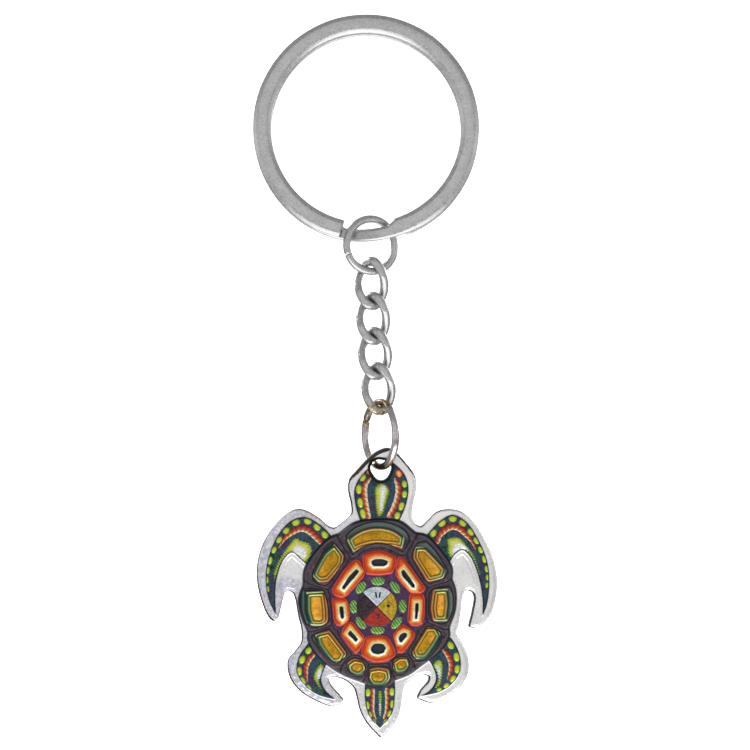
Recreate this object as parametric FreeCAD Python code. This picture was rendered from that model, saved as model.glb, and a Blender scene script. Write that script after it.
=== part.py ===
import FreeCAD, Part
import os
from math import cos, degrees, hypot, pi, radians, sin, tan

# Key ring with a short curb chain and a turtle pendant.
#
# Frame: millimetres, +Z up, the face of the pendant looks along -Y, the origin is the centre of
# the key ring.  The key ring hangs in the XZ plane and everything else hangs below it.
#
# The pendant is a flat board cut to the outline of a turtle.  An embossed foil covers its front,
# a paste fills the raised shell behind the foil, and a plain foil covers the back.

Vector = FreeCAD.Vector
UP = Vector(0, 0, 1)

# ---------------------------------------------------------------- key ring (flat steel strip)
RING_OUTER_R = 15.0
RING_INNER_R = 12.6
STRIP_T = 1.10            # thickness of one coil, along Y
STRIP_BEVEL = 0.30
COIL_GAP = 0.04           # between the two coils
CROSS_INNER_R = 13.3      # the strip is narrower where it crosses from one coil to the other
CROSS_HALF = 12.0         # the crossing spans +-12 degrees about the lowest point
SHOULDER_END = 17.6       # where the strip has its full width again
FRONT_END = -13.0         # cut end of the front coil
BACK_END = 21.0           # cut end of the back coil
CROSS_STEPS = 8

# ---------------------------------------------------------------- round wire pieces
CLEARANCE = 0.12          # between two wires that hang in each other
FIRST_CLEARANCE = 0.24    # the first link meets the top ring at a slant
TOP_RING = {"mean_r": 3.475, "wire": 1.05, "x": 0.66, "z": -15.55, "turn": 24.0, "gap_at": 200.0}
LOWER_RING = {"mean_r": 4.30, "wire": 1.00, "x": 1.88, "turn": -62.0, "gap_at": 155.0}
RING_GAP = 2.5            # degrees of the cut in a jump ring

LINK_WIRE = 1.15
LINK_LENGTH = 7.08
LINK_WIDTH = 4.6
LINK_TWIST = 45.0         # each end of a curb link is turned this far, the two ends opposite ways
LINK_ROUNDNESS = 2.35     # 2 is an ellipse, more is squarer
LINK_CORNERS = 20
LINK_X = (0.72, 0.96, 1.20, 1.66)        # middle of each link
LINK_LEAN = (1.5, 2.0, 3.0, 5.0)         # degrees, lower end towards +X
LINK_TURN = (-2.0, 0.0, 0.0, 0.0)        # degrees about Z

# ---------------------------------------------------------------- pendant
PENDANT_X = 1.52          # place of the middle of the shell
PENDANT_Z = -62.90
BOARD_T = 1.5
FOIL_T = 0.2
FIGURE_H = 0.3            # height of the raised head, flippers and tail above the plain foil
SHELL_STEPS = ((0.0, 1.0), (0.60, 0.965), (0.95, 0.90), (1.10, 0.80))   # height, share of outline
HOLE_U, HOLE_V, HOLE_D = 0.50, 17.55, 3.0

# Outlines are in the pendant's own U (right) and V (up), measured from the middle of the shell.
# A point with a third value is a sharp corner, the others are joined by one smooth curve.
SHARP = 1
OUTLINE = (
    (-4.3, 10.75), (-3.5, 11.6), (-3.5, 12.8), (-3.9, 14.8), (-3.7, 16.3), (-2.7, 17.5),
    (-1.4, 18.9), (0.0, 20.0), (1.4, 20.4), (2.5, 19.8), (3.8, 18.4), (5.0, 16.7), (5.2, 15.2),
    (4.75, 13.0), (4.6, 11.5), (4.95, 10.4), (5.75, 9.95), (6.7, 10.75), (7.9, 11.85), (9.4, 12.2),
    (11.0, 11.95), (12.6, 10.75), (14.0, 8.75), (15.3, 6.0), (15.92, 3.1), (15.75, 0.6),
    (15.0, -1.75), (13.9, -3.1), (12.9, -3.5), (12.1, -3.35, SHARP), (12.6, -1.3), (12.85, 0.5),
    (12.55, 1.2), (11.9, 1.45), (11.4, 0.9), (11.1, -1.2), (10.75, -3.3), (10.4, -4.35, SHARP),
    (11.4, -5.8), (12.1, -7.6), (12.05, -9.6), (10.9, -11.5), (8.9, -12.9), (7.15, -13.45),
    (5.2, -12.85, SHARP), (5.8, -11.75), (6.75, -10.6), (6.75, -9.95), (6.05, -9.72), (4.8, -10.3),
    (3.75, -11.1), (3.35, -12.2), (3.15, -13.9), (2.75, -15.4), (1.7, -17.0), (0.55, -18.05),
    (-0.3, -17.4), (-1.6, -15.9), (-2.4, -14.3), (-2.75, -12.8), (-3.2, -11.4), (-4.4, -10.4),
    (-5.7, -10.0), (-6.35, -10.15), (-6.35, -10.85), (-5.1, -12.4), (-4.5, -13.1, SHARP),
    (-5.2, -13.8), (-6.2, -13.9), (-8.4, -13.05), (-10.4, -11.75), (-11.7, -9.9), (-11.9, -7.9),
    (-11.0, -6.75), (-10.15, -5.5), (-10.1, -3.8), (-10.55, -1.8), (-10.95, 0.4), (-11.3, 1.2),
    (-11.85, 1.37), (-12.4, 0.8), (-12.9, -1.0), (-13.25, -2.3), (-13.65, -2.6), (-14.35, -2.2),
    (-15.3, -0.2), (-15.95, 2.4), (-16.0, 4.8), (-15.2, 7.7), (-13.6, 10.15), (-12.0, 11.65),
    (-10.6, 12.25), (-9.2, 11.9), (-7.6, 10.9), (-6.4, 9.9), (-5.7, 9.75), (-5.0, 10.2),
)
SHELL = (
    (0.3, 11.2), (3.0, 10.9), (5.1, 9.35, SHARP), (6.6, 9.0), (8.4, 7.2), (10.0, 4.7),
    (10.0, 3.15, SHARP), (10.5, 1.6), (10.45, -0.9), (9.65, -3.3, SHARP), (9.65, -4.6), (8.3, -6.6),
    (6.0, -8.4), (4.2, -9.7), (2.4, -10.4, SHARP), (1.9, -11.1), (0.3, -11.35), (-1.3, -11.1),
    (-1.8, -10.8, SHARP), (-4.1, -9.9), (-6.4, -8.6), (-8.3, -6.8), (-9.3, -5.0),
    (-9.3, -3.95, SHARP), (-10.3, -1.4), (-10.45, 0.9), (-9.93, 2.3, SHARP), (-9.8, 4.3),
    (-8.2, 7.0), (-6.4, 8.7), (-5.1, 9.2, SHARP), (-3.0, 10.7),
)
FIGURE_PARTS = (
    # head and neck
    ((-2.2, 10.5, SHARP), (-2.9, 12.9), (-3.05, 15.0), (-2.2, 16.7), (-0.6, 18.25), (1.0, 19.1),
     (2.6, 18.1), (3.75, 16.7), (4.15, 15.0), (3.7, 12.6), (2.8, 10.5, SHARP)),
    # upper right flipper
    ((5.6, 7.8, SHARP), (6.9, 9.35), (8.2, 10.7), (9.9, 11.6), (11.7, 10.75), (13.4, 8.3),
     (14.6, 5.3), (14.85, 2.2), (14.5, -0.4), (13.9, -1.95, SHARP), (13.9, 0.6), (13.3, 3.7),
     (12.3, 6.0), (11.3, 6.85), (10.3, 6.3), (9.4, 4.9, SHARP)),
    # lower right flipper
    ((9.0, -3.9, SHARP), (10.2, -5.3), (11.0, -7.3), (10.9, -9.3), (9.8, -10.9), (8.2, -11.9),
     (5.6, -12.5, SHARP), (7.0, -11.6), (7.75, -10.1), (7.2, -8.3), (6.2, -7.0, SHARP)),
    # tail
    ((2.3, -9.8, SHARP), (2.35, -12.2), (1.9, -14.8), (0.35, -16.7, SHARP), (-1.1, -15.0),
     (-1.65, -12.8), (-1.6, -9.8, SHARP)),
    # lower left flipper
    ((-6.0, -7.2, SHARP), (-6.9, -8.6), (-7.4, -10.2), (-6.9, -11.6), (-5.5, -12.9, SHARP),
     (-7.8, -12.3), (-9.6, -11.0), (-10.7, -9.2), (-10.4, -7.2), (-9.3, -5.6),
     (-8.6, -4.6, SHARP)),
    # upper left flipper
    ((-9.0, 4.6, SHARP), (-10.3, 5.8), (-11.3, 6.55), (-12.4, 5.6), (-13.3, 3.2), (-13.5, 0.9),
     (-13.4, -1.8, SHARP), (-14.4, 0.4), (-14.8, 3.4), (-14.3, 6.4), (-13.1, 9.0), (-11.4, 10.8),
     (-9.6, 11.3), (-7.7, 10.35), (-6.1, 8.8), (-5.2, 7.4, SHARP)),
)


def export(shape, name):
    """Writes one node."""
    if not shape.isValid():
        raise ValueError(name + " is not a valid solid")
    shape.exportStep("parts/" + name + ".step")
    print(name, "solids", len(shape.Solids), "volume", round(shape.Volume, 2))


# ================================================================ key ring
def on_key_ring(radius, angle, y):
    """Point at an angle from the lowest point of the ring, positive towards +X."""
    return Vector(radius * sin(radians(angle)), y, -radius * cos(radians(angle)))


def strip_section(angle, inner_r, y_middle):
    """Bevelled rectangle of the steel strip, in the radial plane at this angle."""
    half = STRIP_T / 2
    b = STRIP_BEVEL
    corners = (
        (inner_r + b, -half), (RING_OUTER_R - b, -half), (RING_OUTER_R, b - half),
        (RING_OUTER_R, half - b), (RING_OUTER_R - b, half), (inner_r + b, half),
        (inner_r, half - b), (inner_r, b - half),
    )
    points = [on_key_ring(r, angle, y_middle + y) for r, y in corners]
    return Part.makePolygon(points + points[:1])


def coil(start, end, y_middle):
    """One turn of full-width strip from one angle to the other."""
    face = Part.Face(strip_section(start, RING_INNER_R, y_middle))
    return face.revolve(Vector(0, 0, 0), Vector(0, -1, 0), end - start)


def crossing(front_y, back_y):
    """The narrow stretch that leads the strip from the front coil to the back coil."""
    sections = [strip_section(SHOULDER_END, RING_INNER_R, front_y)]
    for step in range(CROSS_STEPS + 1):
        share = step / CROSS_STEPS
        y = front_y + (back_y - front_y) * (1 - cos(pi * share)) / 2
        sections.append(strip_section(CROSS_HALF * (1 - 2 * share), CROSS_INNER_R, y))
    sections.append(strip_section(-SHOULDER_END, RING_INNER_R, back_y))
    return Part.makeLoft(sections, True, True)


def split_ring():
    """Strip wound twice, its two coils joined by the crossing."""
    y = (STRIP_T + COIL_GAP) / 2
    front = coil(SHOULDER_END, 360 + FRONT_END, -y)
    back = coil(BACK_END, 360 - SHOULDER_END, y)
    return front.fuse([crossing(-y, y), back])


# ================================================================ jump rings and chain
def jump_ring(size, z):
    """Round wire bent to a circle in an upright plane, turned about Z, with a narrow cut."""
    across = Vector(cos(radians(size["turn"])), sin(radians(size["turn"])), 0)
    axis = across.cross(UP)
    centre = Vector(size["x"], 0, z)
    start = radians(size["gap_at"] + RING_GAP / 2)
    spoke = across * cos(start) + UP * sin(start)
    circle = Part.Circle(centre + spoke * size["mean_r"], axis.cross(spoke), size["wire"] / 2)
    face = Part.Face(Part.Wire(circle.toShape()))
    return face.revolve(centre, axis * -1, 360 - RING_GAP)


def signed_power(value, power):
    """Power of the size of a value that keeps its sign."""
    return (abs(value) ** power) * (1 if value > 0 else -1)


def link_corners():
    """Corners of the middle line of a curb link about its own centre."""
    half_l = (LINK_LENGTH - LINK_WIRE) / 2
    half_w = (LINK_WIDTH - LINK_WIRE) / 2
    power = 2 / LINK_ROUNDNESS
    points = []
    for k in range(LINK_CORNERS):
        angle = 2 * pi * (k + 0.5) / LINK_CORNERS
        z = half_l * signed_power(sin(angle), power)
        across = half_w * signed_power(cos(angle), power)
        twist = -radians(LINK_TWIST) * z / half_l
        points.append(Vector(across * cos(twist), across * sin(twist), z))
    return points


def disc(centre, heading):
    """Round face of the link wire."""
    circle = Part.Circle(centre, heading, LINK_WIRE / 2)
    return Part.Face(Part.Wire(circle.toShape()))


def bent_wire_loop(points):
    """Round wire along straight runs, with a tangent bend at every corner; returns its solid."""
    bends = []
    for k, corner in enumerate(points):
        back = points[k - 1] - corner
        ahead = points[(k + 1) % len(points)] - corner
        reach = 0.48 * min(back.Length, ahead.Length)
        back.normalize()
        ahead.normalize()
        inwards = back + ahead
        inwards.normalize()
        turn = pi - back.getAngle(ahead)
        radius = reach / tan(turn / 2)
        centre = corner + inwards * hypot(radius, reach)
        start = corner + back * reach
        bend = disc(start, back * -1).revolve(centre, ahead.cross(back), degrees(turn))
        bends.append((bend, start, corner + ahead * reach))
    pieces = [bend for bend, start, end in bends]
    for k, (bend, start, end) in enumerate(bends):
        run = bends[(k + 1) % len(bends)][1] - end
        pieces.append(disc(end, run).extrude(run))
    return pieces[0].fuse(pieces[1:]).removeSplitter()


def chain_link(x, z, lean, turn):
    """One twisted link in its hanging place."""
    link = bent_wire_loop(link_corners())
    link.rotate(Vector(0, 0, 0), UP, turn)
    link.rotate(Vector(0, 0, 0), Vector(0, -1, 0), lean)
    link.translate(Vector(x, 0, z))
    return link


def chain_heights():
    """Middle of each link and of the lower ring, from how one wire hangs in the next."""
    pitch = LINK_LENGTH - 2 * LINK_WIRE - CLEARANCE
    first_hook = (TOP_RING["wire"] + LINK_WIRE) / 2 + FIRST_CLEARANCE
    first_top = TOP_RING["z"] - TOP_RING["mean_r"] + first_hook
    half = (LINK_LENGTH - LINK_WIRE) / 2
    links = [first_top - half - k * pitch for k in range(len(LINK_X))]
    hook = (LINK_WIRE + LOWER_RING["wire"]) / 2 + CLEARANCE
    lower = links[-1] - half + hook - LOWER_RING["mean_r"]
    return links, lower


# ================================================================ pendant
def outline_wire(points, depth, share=1.0):
    """Closed wire through the points at Y = depth; smooth between sharp corners."""
    at = [Vector(PENDANT_X + p[0] * share, depth, PENDANT_Z + p[1] * share) for p in points]
    corners = [k for k, p in enumerate(points) if len(p) == 3]
    edges = []
    for n, first in enumerate(corners):
        last = corners[(n + 1) % len(corners)]
        if last <= first:
            last += len(points)
        stretch = [at[k % len(points)] for k in range(first, last + 1)]
        if len(stretch) == 2:
            edges.append(Part.LineSegment(stretch[0], stretch[1]).toShape())
            continue
        curve = Part.BSplineCurve()
        curve.interpolate(stretch)
        edges.append(curve.toShape())
    return Part.Wire(edges)


def slab(points, back_y, front_y):
    """Flat solid of an outline between two depths."""
    face = Part.Face(outline_wire(points, back_y))
    return face.extrude(Vector(0, front_y - back_y, 0))


def shell_mound(base_y, foil=0.0):
    """Stepped dome over the shell outline; a foil thickness is taken off its sides and top."""
    half_width = 10.0
    full_height = SHELL_STEPS[-1][0]
    sections = []
    for height, share in SHELL_STEPS:
        y = base_y - height * (1 - foil / full_height)
        sections.append(outline_wire(SHELL, y, share - foil / 2 / half_width))
    return Part.makeLoft(sections, True, True)


def hanging_hole():
    depth = 12.0
    base = Vector(PENDANT_X + HOLE_U, -depth / 2, PENDANT_Z + HOLE_V)
    return Part.makeCylinder(HOLE_D / 2, depth, base, Vector(0, 1, 0))


def core_board():
    return slab(OUTLINE, BOARD_T / 2, -BOARD_T / 2).cut(hanging_hole())


def back_foil():
    return slab(OUTLINE, BOARD_T / 2 + FOIL_T, BOARD_T / 2).cut(hanging_hole())


def relief_filler():
    return shell_mound(-BOARD_T / 2, FOIL_T)


def front_foil():
    board_face = -BOARD_T / 2
    foil_face = board_face - FOIL_T
    foil = slab(OUTLINE, board_face, foil_face)
    figure = [slab(part, board_face, foil_face - FIGURE_H) for part in FIGURE_PARTS]
    shell = shell_mound(board_face)
    return foil.fuse(figure + [shell]).cut(relief_filler()).cut(hanging_hole())


# ================================================================ all nodes
os.makedirs("parts", exist_ok=True)
link_z, lower_z = chain_heights()
export(split_ring(), "split_ring")
export(jump_ring(TOP_RING, TOP_RING["z"]), "top_jump_ring")
for number, (x, z, lean, turn) in enumerate(zip(LINK_X, link_z, LINK_LEAN, LINK_TURN), start=1):
    export(chain_link(x, z, lean, turn), "chain_link_" + str(number))
export(jump_ring(LOWER_RING, lower_z), "lower_jump_ring")
export(core_board(), "core_board")
export(relief_filler(), "relief_filler")
export(front_foil(), "front_foil")
export(back_foil(), "back_foil")
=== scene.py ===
from math import ceil, cos, pi, radians, sin, sqrt

import bpy
import numpy as np
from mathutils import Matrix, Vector, geometry, noise


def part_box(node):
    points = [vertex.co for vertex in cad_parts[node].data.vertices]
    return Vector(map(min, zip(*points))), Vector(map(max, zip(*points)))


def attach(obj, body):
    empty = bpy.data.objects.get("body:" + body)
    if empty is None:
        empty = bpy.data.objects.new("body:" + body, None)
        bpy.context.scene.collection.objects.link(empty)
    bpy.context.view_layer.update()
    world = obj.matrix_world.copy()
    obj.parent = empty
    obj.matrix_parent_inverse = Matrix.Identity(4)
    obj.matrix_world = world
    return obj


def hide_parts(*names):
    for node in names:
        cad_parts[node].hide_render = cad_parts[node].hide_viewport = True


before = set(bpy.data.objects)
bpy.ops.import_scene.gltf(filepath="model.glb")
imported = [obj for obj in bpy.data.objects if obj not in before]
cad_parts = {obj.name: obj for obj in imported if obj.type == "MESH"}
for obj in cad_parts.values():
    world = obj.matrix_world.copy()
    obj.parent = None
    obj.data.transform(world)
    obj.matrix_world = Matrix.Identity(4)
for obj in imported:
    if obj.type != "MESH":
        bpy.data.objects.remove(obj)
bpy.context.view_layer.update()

# Lengths are millimetres unless a comment says otherwise; MM turns them into metres.
MM = 0.001
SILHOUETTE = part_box("core_board")
# The middle of the shell, from the board's left edge and its tail tip.
PENDANT_X = SILHOUETTE[0][0] / MM + 16.03
PENDANT_Z = SILHOUETTE[0][2] / MM + 18.05
BOARD_HALF = 0.75            # half the thickness of the board
BOARD_STEP = 0.14            # spacing of the points round the board
BOARD_LAYERS = 6
FOIL_T = 0.2
FOIL_STEP = 0.10
HEM = 0.02                   # the foil's edge is turned this far past its inside
TURNED, TUCKED = 0.03, 0.10  # how far the edge is turned outwards, and tucked in behind
EDGE_R = 0.26                # rolled edge of the foil
HOLE_EDGE_R = 0.15
BACK_STEP, BACK_GRID = 0.2, 0.24
SHELL_BASE = 0.48            # groove floor of the shell at its edge, over the plain foil
SHELL_RISE = 0.496           # and how much higher it is at the middle
LIMB_RISE = 0.28
SCUTE_GROWTH = 0.10          # the inner scutes almost touch
SEAM_SHIFT = -0.30           # the ring of inner scutes keeps its seam nearer than half way

# =============================================================== outlines of the pendant
# U is right and V is up, from the middle of the shell.  A third value marks a sharp corner.
SHARP = 1
OUTLINE = (
    (-4.3, 10.75), (-3.5, 11.6), (-3.5, 12.8), (-3.9, 14.8), (-3.7, 16.3), (-2.7, 17.5),
    (-1.4, 18.9), (0.0, 20.0), (1.4, 20.4), (2.5, 19.8), (3.8, 18.4), (5.0, 16.7), (5.2, 15.2),
    (4.75, 13.0), (4.6, 11.5), (4.95, 10.4), (5.75, 9.95), (6.7, 10.75), (7.9, 11.85), (9.4, 12.2),
    (11.0, 11.95), (12.6, 10.75), (14.0, 8.75), (15.3, 6.0), (15.92, 3.1), (15.75, 0.6),
    (15.0, -1.75), (13.9, -3.1), (12.9, -3.5), (12.1, -3.35, SHARP), (12.6, -1.3), (12.85, 0.5),
    (12.55, 1.2), (11.9, 1.45), (11.4, 0.9), (11.1, -1.2), (10.75, -3.3), (10.4, -4.35, SHARP),
    (11.4, -5.8), (12.1, -7.6), (12.05, -9.6), (10.9, -11.5), (8.9, -12.9), (7.15, -13.45),
    (5.2, -12.85, SHARP), (5.8, -11.75), (6.75, -10.6), (6.75, -9.95), (6.05, -9.72), (4.8, -10.3),
    (3.75, -11.1), (3.35, -12.2), (3.15, -13.9), (2.75, -15.4), (1.7, -17.0), (0.55, -18.05),
    (-0.3, -17.4), (-1.6, -15.9), (-2.4, -14.3), (-2.75, -12.8), (-3.2, -11.4), (-4.4, -10.4),
    (-5.7, -10.0), (-6.35, -10.15), (-6.35, -10.85), (-5.1, -12.4), (-4.5, -13.1, SHARP),
    (-5.2, -13.8), (-6.2, -13.9), (-8.4, -13.05), (-10.4, -11.75), (-11.7, -9.9), (-11.9, -7.9),
    (-11.0, -6.75), (-10.15, -5.5), (-10.1, -3.8), (-10.55, -1.8), (-10.95, 0.4), (-11.3, 1.2),
    (-11.85, 1.37), (-12.4, 0.8), (-12.9, -1.0), (-13.25, -2.3), (-13.65, -2.6), (-14.35, -2.2),
    (-15.3, -0.2), (-15.95, 2.4), (-16.0, 4.8), (-15.2, 7.7), (-13.6, 10.15), (-12.0, 11.65),
    (-10.6, 12.25), (-9.2, 11.9), (-7.6, 10.9), (-6.4, 9.9), (-5.7, 9.75), (-5.0, 10.2),
)
SHELL = (
    (0.3, 11.2), (3.0, 10.9), (5.1, 9.35, SHARP), (6.6, 9.0), (8.4, 7.2), (10.0, 4.7),
    (10.0, 3.15, SHARP), (10.5, 1.6), (10.45, -0.9), (9.65, -3.3, SHARP), (9.65, -4.6), (8.3, -6.6),
    (6.0, -8.4), (4.2, -9.7), (2.4, -10.4, SHARP), (1.9, -11.1), (0.3, -11.35), (-1.3, -11.1),
    (-1.8, -10.8, SHARP), (-4.1, -9.9), (-6.4, -8.6), (-8.3, -6.8), (-9.3, -5.0),
    (-9.3, -3.95, SHARP), (-10.3, -1.4), (-10.45, 0.9), (-9.93, 2.3, SHARP), (-9.8, 4.3),
    (-8.2, 7.0), (-6.4, 8.7), (-5.1, 9.2, SHARP), (-3.0, 10.7),
)
LIMBS = {
    "head": ((-2.2, 10.5, SHARP), (-2.9, 12.9), (-3.05, 15.0), (-2.2, 16.7), (-0.6, 18.25),
             (1.0, 19.1), (2.6, 18.1), (3.75, 16.7), (4.15, 15.0), (3.7, 12.6), (2.8, 10.5, SHARP)),
    "upper_right": ((5.6, 7.8, SHARP), (6.9, 9.35), (8.2, 10.7), (9.9, 11.6), (11.7, 10.75),
                    (13.4, 8.3), (14.6, 5.3), (14.85, 2.2), (14.5, -0.4), (13.9, -1.95, SHARP),
                    (13.9, 0.6), (13.3, 3.7), (12.3, 6.0), (11.3, 6.85), (10.3, 6.3),
                    (9.4, 4.9, SHARP)),
    "lower_right": ((9.0, -3.9, SHARP), (10.2, -5.3), (11.0, -7.3), (10.9, -9.3), (9.8, -10.9),
                    (8.2, -11.9), (5.6, -12.5, SHARP), (7.0, -11.6), (7.75, -10.1), (7.2, -8.3),
                    (6.2, -7.0, SHARP)),
    "tail": ((2.3, -9.8, SHARP), (2.35, -12.2), (1.9, -14.8), (0.35, -16.7, SHARP), (-1.1, -15.0),
             (-1.65, -12.8), (-1.6, -9.8, SHARP)),
    "lower_left": ((-6.0, -7.2, SHARP), (-6.9, -8.6), (-7.4, -10.2), (-6.9, -11.6),
                   (-5.5, -12.9, SHARP), (-7.8, -12.3), (-9.6, -11.0), (-10.7, -9.2),
                   (-10.4, -7.2), (-9.3, -5.6), (-8.6, -4.6, SHARP)),
    "upper_left": ((-9.0, 4.6, SHARP), (-10.3, 5.8), (-11.3, 6.55), (-12.4, 5.6), (-13.3, 3.2),
                   (-13.5, 0.9), (-13.4, -1.8, SHARP), (-14.4, 0.4), (-14.8, 3.4), (-14.3, 6.4),
                   (-13.1, 9.0), (-11.4, 10.8), (-9.6, 11.3), (-7.7, 10.35), (-6.1, 8.8),
                   (-5.2, 7.4, SHARP)),
}
HOLE_U, HOLE_V, HOLE_R = 0.5, 17.55, 1.5
# Burrs that narrow the hole: direction, spread and depth.
HOLE_BURRS = ((215, 35, 0.2), (-25, 40, 0.25), (80, 32, 0.18))

# Outer scutes: corners of the plate, then corners of its gold panel.  All are convex.
# The top plate is arched: its corners are (run along an arc, radius) about ARCH.
ARCH_U, ARCH_V, ARCH_R = 0.1, 3.5, 5.5
TOP_SCUTE = (
    ((-4.6, 4.5), (0.0, 4.38), (4.15, 4.65), (4.1, 5.6), (3.8, 6.4), (2.9, 7.0), (0.3, 7.2),
     (-2.4, 7.05), (-3.6, 6.75), (-4.2, 5.8)),
    ((-3.45, 5.15), (-1.5, 4.9), (1.3, 4.9), (2.9, 5.35), (2.75, 5.7), (1.5, 5.95), (-1.5, 6.0),
     (-3.3, 5.8)),
)
OUTER_SCUTES = (
    # upper right
    (((5.3, 7.8), (6.3, 8.1), (7.25, 7.3), (8.8, 5.1), (9.25, 4.2), (8.8, 3.35), (7.0, 2.7),
      (6.3, 3.1), (4.65, 5.95), (4.75, 6.7)),
     ((5.55, 6.75), (6.15, 6.75), (7.4, 5.5), (8.35, 4.4), (8.2, 3.85), (7.05, 3.6), (5.5, 6.1))),
    # right
    (((6.9, 1.3), (7.4, 1.85), (9.4, 2.2), (9.9, 1.2), (9.95, -0.8), (9.4, -2.3), (8.5, -2.7),
      (7.3, -2.3), (6.85, -1.4)),
     ((8.05, 1.15), (8.75, 1.2), (8.9, 0.0), (8.7, -1.7), (8.0, -1.7), (7.8, -0.7))),
    # lower right
    (((6.5, -3.15), (7.3, -3.2), (8.35, -4.0), (8.35, -5.0), (7.4, -6.55), (6.4, -7.4),
      (5.5, -7.65), (4.65, -6.85), (4.65, -6.2), (5.9, -4.1)),
     ((6.75, -3.75), (7.4, -3.75), (7.7, -4.3), (6.95, -5.6), (6.1, -6.65), (5.4, -6.7),
      (5.25, -6.2))),
    # small, lower right
    (((2.2, -7.5), (3.1, -7.1), (3.95, -7.2), (4.2, -8.0), (3.9, -8.9), (3.1, -9.45),
      (2.4, -9.2), (2.05, -8.4)),
     ((2.6, -8.05), (3.05, -7.7), (3.65, -7.7), (3.8, -8.15), (3.4, -8.6), (2.75, -8.65))),
    # bottom
    (((-0.85, -8.55), (0.2, -8.4), (1.3, -8.5), (1.8, -9.3), (1.5, -10.4), (0.6, -11.1),
      (-0.5, -11.0), (-1.1, -10.1), (-1.15, -9.2)),
     ((-0.6, -9.35), (0.2, -9.2), (0.9, -9.35), (1.0, -9.8), (0.6, -10.3), (-0.35, -10.3),
      (-0.7, -9.85))),
    # small, lower left
    (((-3.8, -7.6), (-3.0, -7.3), (-2.1, -7.6), (-1.6, -8.4), (-1.85, -9.35), (-2.6, -9.7),
      (-3.6, -9.1), (-4.0, -8.3)),
     ((-3.4, -8.35), (-2.9, -8.0), (-2.15, -8.15), (-1.95, -8.65), (-2.55, -9.05),
      (-3.25, -8.8))),
    # lower left
    (((-8.6, -4.5), (-7.6, -3.85), (-6.4, -3.5), (-5.6, -4.4), (-4.1, -6.55), (-4.15, -7.0),
      (-5.4, -7.95), (-6.4, -7.3), (-8.2, -5.3)),
     ((-7.4, -4.65), (-6.6, -4.45), (-4.85, -6.75), (-5.15, -7.3), (-5.75, -7.3),
      (-7.15, -5.4))),
    # left
    (((-9.75, 1.75), (-8.6, 1.9), (-7.2, 1.65), (-6.85, 0.9), (-6.5, -0.8), (-6.45, -2.2),
      (-6.9, -2.85), (-8.3, -3.15), (-9.35, -2.7), (-9.95, -1.0), (-10.05, 0.6)),
     ((-8.75, 0.8), (-7.5, 0.87), (-7.25, -0.9), (-7.25, -2.1), (-7.5, -2.3), (-8.35, -2.3),
      (-8.75, -1.0))),
    # upper left
    (((-5.9, 7.95), (-5.2, 7.3), (-4.35, 6.3), (-4.35, 5.8), (-6.2, 2.85), (-6.8, 2.4),
      (-7.6, 2.5), (-8.4, 3.05), (-8.5, 3.9), (-7.4, 6.1), (-6.6, 7.5)),
     ((-5.75, 6.9), (-5.2, 6.1), (-5.3, 5.4), (-6.8, 3.6), (-7.5, 3.5), (-7.85, 3.85),
      (-7.3, 5.0), (-6.5, 6.3))),
)
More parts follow.
